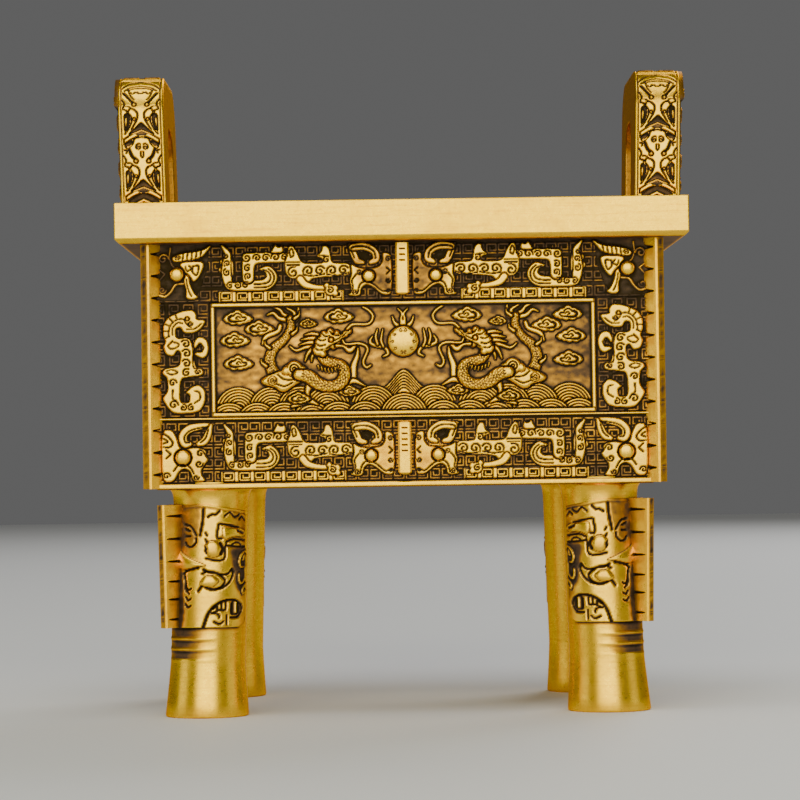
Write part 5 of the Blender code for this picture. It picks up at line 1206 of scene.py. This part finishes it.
def leg_sleeve(name, place, step):
    """The plate round the outer side of a leg, with its mask."""
    s = Sheet(-SLEEVE_REACH, 0.0, SLEEVE_BOTTOM, SLEEVE_TOP, step, 0.04)
    leg_mask(s)
    s.cut(0.3, 0.4, (-0.5, SLEEVE_TOP - 0.9), (-SLEEVE_REACH, SLEEVE_TOP - 0.9), straight=True, tone=0.3)
    s = s.mirrored().age_and_shade(41)
    u, v = np.meshgrid(s.u, s.v)
    away = np.abs(u)
    top = SLEEVE_TOP - SLEEVE_SAG * np.clip((away - 9.0) / (SLEEVE_REACH - 9.0), 0, 1)
    corner = np.clip((away - SLEEVE_REACH + SLEEVE_ROUND) / SLEEVE_ROUND, 0, 1)
    bottom = SLEEVE_BOTTOM + SLEEVE_ROUND * (1 - np.sqrt(1 - corner**2))
    warped = bottom + (v - SLEEVE_BOTTOM) / (SLEEVE_TOP - SLEEVE_BOTTOM) * (top - bottom)

    def wrap(u, v, h):
        down = (SLEEVE_TOP - v) / (SLEEVE_TOP - SLEEVE_BOTTOM)
        edge = np.clip((SLEEVE_REACH - np.abs(u)) / 0.6, 0, 1)
        r = LEG_RADIUS + SLEEVE_THICKNESS + h + SLEEVE_FLARE * down * (h > -1) - 0.35 * (1 - edge) ** 2
        a = u / (LEG_RADIUS + SLEEVE_THICKNESS)
        return place(r * np.cos(a), r * np.sin(a), v)

    h, dark = s.h, s.dark
    u, warped, dark = (np.pad(m, 1, mode="edge") for m in (u, warped, dark))
    h = np.pad(h, 1, constant_values=-SLEEVE_THICKNESS - 0.4)
    points = wrap(u, warped, h)
    dark[[0, 0, -1, -1], :] = 0.3
    j, i = h.shape[0] // 2, h.shape[1] // 2
    outward = (wrap(u, warped, h + 1.0) - points)[j, i]
    add(name, rows_mesh(name, points, dark, outward=outward), relief_brass)


def leg(name, sx, sy):
    place = leg_place(sx, sy)
    leg_shaft(name + "_shaft", place)
    leg_sleeve(name + "_mask", place, FRONT_SLEEVE_STEP if sy < 0 else BACK_SLEEVE_STEP)

    def tip(z):
        return LEG_FIN_TIP - LEG_FIN_TAPER * (SLEEVE_TOP - z) / (SLEEVE_TOP - SLEEVE_BOTTOM)

    notched_fin(name + "_fin", place, SLEEVE_BOTTOM, SLEEVE_TOP, LEG_RADIUS, tip, LEG_FIN_HALF,
                LEG_FIN_NOTCHES, wide=0.34)


def ear_point(sign, out, y, up):
    """A point of an ear, which leans outwards as it rises."""
    return np.stack([sign * (RIM_X + out + EAR_LEAN * up), y + 0 * up, RIM_TOP + up], axis=-1)


def ear_outline(half, shoulder, radius, steps=14):
    """Half of an arch's outline, from the foot to its top: a straight, a quarter and a flat."""
    turn = np.linspace(0, math.pi / 2, steps)
    arc = [(half - radius + radius * math.cos(a), shoulder + radius * math.sin(a)) for a in turn]
    straight = [(half, v) for v in np.linspace(-0.6, shoulder, steps, endpoint=False)]
    flat = [(u, shoulder + radius) for u in np.linspace(half - radius, 0, steps)[1:]]
    return np.array(straight + arc + flat)


def ear_body(name, sign):
    sunk = 0.75
    outer = ear_outline(EAR_LENGTH / 2 - sunk, EAR_STRAIGHT, EAR_SHOULDER - sunk)
    inner = ear_outline(EAR_HOLE / 2, EAR_HOLE_TOP - EAR_HOLE_ROUND, EAR_HOLE_ROUND)
    bm = bmesh.new()
    rows = []
    for line in (outer, inner):
        whole = np.concatenate([line, line[-2::-1] * (-1, 1)])
        for out in (EAR_PROUD - sunk, EAR_PROUD - EAR_THICKNESS):
            rows.append([bm.verts.new(p * MM) for p in ear_point(sign, out, whole[:, 0], whole[:, 1])])
    front, back, hole_front, hole_back = rows
    for a, b in ((front, back), (back, hole_back), (hole_back, hole_front), (hole_front, front)):
        for k in range(len(a) - 1):
            bm.faces.new((a[k], a[k + 1], b[k + 1], b[k]))
    for k in (0, -1):
        bm.faces.new((front[k], back[k], hole_back[k], hole_front[k]))
    # The plain ear body, seen on its inner side and in the hole, is painted darker: painted shade.
    solid(name, bm, plain_brass, 0.55, lambda p: EAR_SHADE_TONE)


def ear_strap_piece(name, sign, side, step):
    """The carved strap up the front or back of an ear and over half its crown."""
    middle = EAR_PROUD - EAR_THICKNESS / 2
    arc = EAR_SHOULDER * math.pi / 2

    def place(u, v, h):
        angle = np.clip((v - EAR_STRAIGHT) / EAR_SHOULDER, 0, math.pi / 2)
        over = np.maximum(v - EAR_STRAIGHT - arc, 0)
        out = EAR_SHOULDER - 0.5 + h
        y = EAR_LENGTH / 2 - EAR_SHOULDER + out * np.cos(angle) - over
        up = np.minimum(v, EAR_STRAIGHT) + out * np.sin(angle)
        return np.stack([sign * (RIM_X + middle + u + EAR_LEAN * up), side * y, RIM_TOP + up], axis=-1)

    add(name, laid_mesh(name, ear_strap(step), place, back=0.5), relief_brass)


def ear_face_piece(name, sign):
    outer = ear_outline(EAR_LENGTH / 2 - 0.15, EAR_STRAIGHT, EAR_SHOULDER - 0.15, 36)
    inner = ear_outline(EAR_HOLE / 2 + 0.5, EAR_HOLE_TOP - EAR_HOLE_ROUND, EAR_HOLE_ROUND + 0.5, 36)
    outer, inner = (np.concatenate([line, line[-2::-1] * (-1, 1)]) for line in (outer, inner))
    share = np.linspace(0, 1, 40)[None, :, None]
    spots = inner[:, None, :] * (1 - share) + outer[:, None, :] * share
    spots[..., 1] = np.maximum(spots[..., 1], 0.0)

    def place(u, v, h):
        return np.stack([sign * (RIM_X + EAR_PROUD + h + EAR_LEAN * v), -sign * u, RIM_TOP + v], axis=-1)

    mesh = laid_mesh(name, ear_face(), place, back=1.0, u=spots[..., 0], v=spots[..., 1])
    add(name, mesh, relief_brass)


relief_brass = brass("relief_brass")
plain_brass = brass("plain_brass", brushed=0.8)

wall("wall_front", 0.0, HALF_Y, HALF_X, FRONT_STEP, PANEL_HALF, True, 1.0, 11)
wall("wall_back", math.pi, HALF_Y, HALF_X, BACK_STEP, PANEL_HALF, True, 1.0, 12)
wall("wall_right", math.pi / 2, HALF_X, HALF_Y, END_STEP, END_PANEL_HALF, False, END_SCALE, 13)
wall("wall_left", -math.pi / 2, HALF_X, HALF_Y, END_STEP, END_PANEL_HALF, False, END_SCALE, 14)
basin()
for sx, side in ((-1, "left"), (1, "right")):
    for sy, end in ((-1, "front"), (1, "back")):
        corner_fin(f"fin_{end}_{side}", sx, sy)
        leg(f"leg_{end}_{side}", sx, sy)
        ear_strap_piece(f"ear_{side}_{end}", sx, sy, FRONT_STEP if sy < 0 else BACK_STEP)
    ear_body(f"ear_{side}", sx)
    ear_face_piece(f"ear_{side}_face", sx)
for where, turn, distance in (("front", 0.0, HALF_Y), ("right", math.pi / 2, HALF_X),
                              ("back", math.pi, HALF_Y), ("left", -math.pi / 2, HALF_X)):
    for part, band, lines in (("upper", PANEL_TOP, UPPER_FLANGE_LINES),
                              ("lower", BAND_BASE, LOWER_FLANGE_LINES)):
        base = band + FLANGE_DROP
        flange(f"flange_{part}_{where}", turn, distance, base, [base + h for h in lines])


# Floor, light and camera


def stage():
    """The pale floor and an even, faint light from all sides."""
    bm = bmesh.new()
    bmesh.ops.create_grid(bm, x_segments=1, y_segments=1, size=FLOOR_SIZE)
    mesh = bpy.data.meshes.new("floor")
    bm.to_mesh(mesh)
    bm.free()
    floor = bpy.data.objects.new("floor", mesh)
    bpy.context.scene.collection.objects.link(floor)
    paint = bpy.data.materials.new("floor")
    paint.use_nodes = True
    shader = paint.node_tree.nodes["Principled BSDF"]
    shader.inputs["Base Color"].default_value = FLOOR_COLOUR
    shader.inputs["Roughness"].default_value = 0.6
    mesh.materials.append(paint)
    world = bpy.data.worlds.new("studio")
    bpy.context.scene.world = world
    world.use_nodes = True
    background = world.node_tree.nodes["Background"]
    background.inputs["Color"].default_value = (1, 1, 1, 1)
    background.inputs["Strength"].default_value = 0.12


def light(name, place, target, size, power, colour=(1.0, 1.0, 1.0)):
    data = bpy.data.lights.new(name, "AREA")
    data.color = colour
    data.size = size
    data.energy = power
    made = bpy.data.objects.new(name, data)
    bpy.context.scene.collection.objects.link(made)
    made.location = place
    made.rotation_euler = (Vector(target) - Vector(place)).to_track_quat("-Z", "Y").to_euler()


def camera():
    data = bpy.data.cameras.new("camera")
    data.sensor_width = SENSOR_WIDTH
    data.lens = FOCAL_PIXELS / PICTURE_WIDTH * SENSOR_WIDTH
    data.clip_start, data.clip_end = 0.05, 20
    made = bpy.data.objects.new("camera", data)
    bpy.context.scene.collection.objects.link(made)
    yaw, pitch, roll = CAMERA_YAW, CAMERA_PITCH, CAMERA_ROLL
    forward = Vector((math.sin(yaw) * math.cos(pitch), math.cos(yaw) * math.cos(pitch), math.sin(pitch)))
    right = Vector((math.cos(yaw), -math.sin(yaw), 0))
    up = right.cross(forward)
    r = right * math.cos(roll) + up * math.sin(roll)
    u = up * math.cos(roll) - right * math.sin(roll)
    made.matrix_world = Matrix((r, u, -forward)).transposed().to_4x4()
    made.location = CAMERA_PLACE
    bpy.context.scene.camera = made


stage()
light("front", (-0.1, -2.0, 0.35), (0, 0, 0.1), 2.0, 44, (1.0, 0.98, 0.62))
light("left", (-1.8, -0.5, 0.3), (0, 0, 0.1), 0.9, 3)
light("right", (1.8, -0.5, 0.3), (0, 0, 0.1), 0.9, 2)
light("overhead", (-0.2, -0.5, 1.7), (0, 0, 0.1), 1.2, 14)
light("back", (0.9, 1.7, 1.2), (0, 0, 0.1), 1.2, 18)
camera()
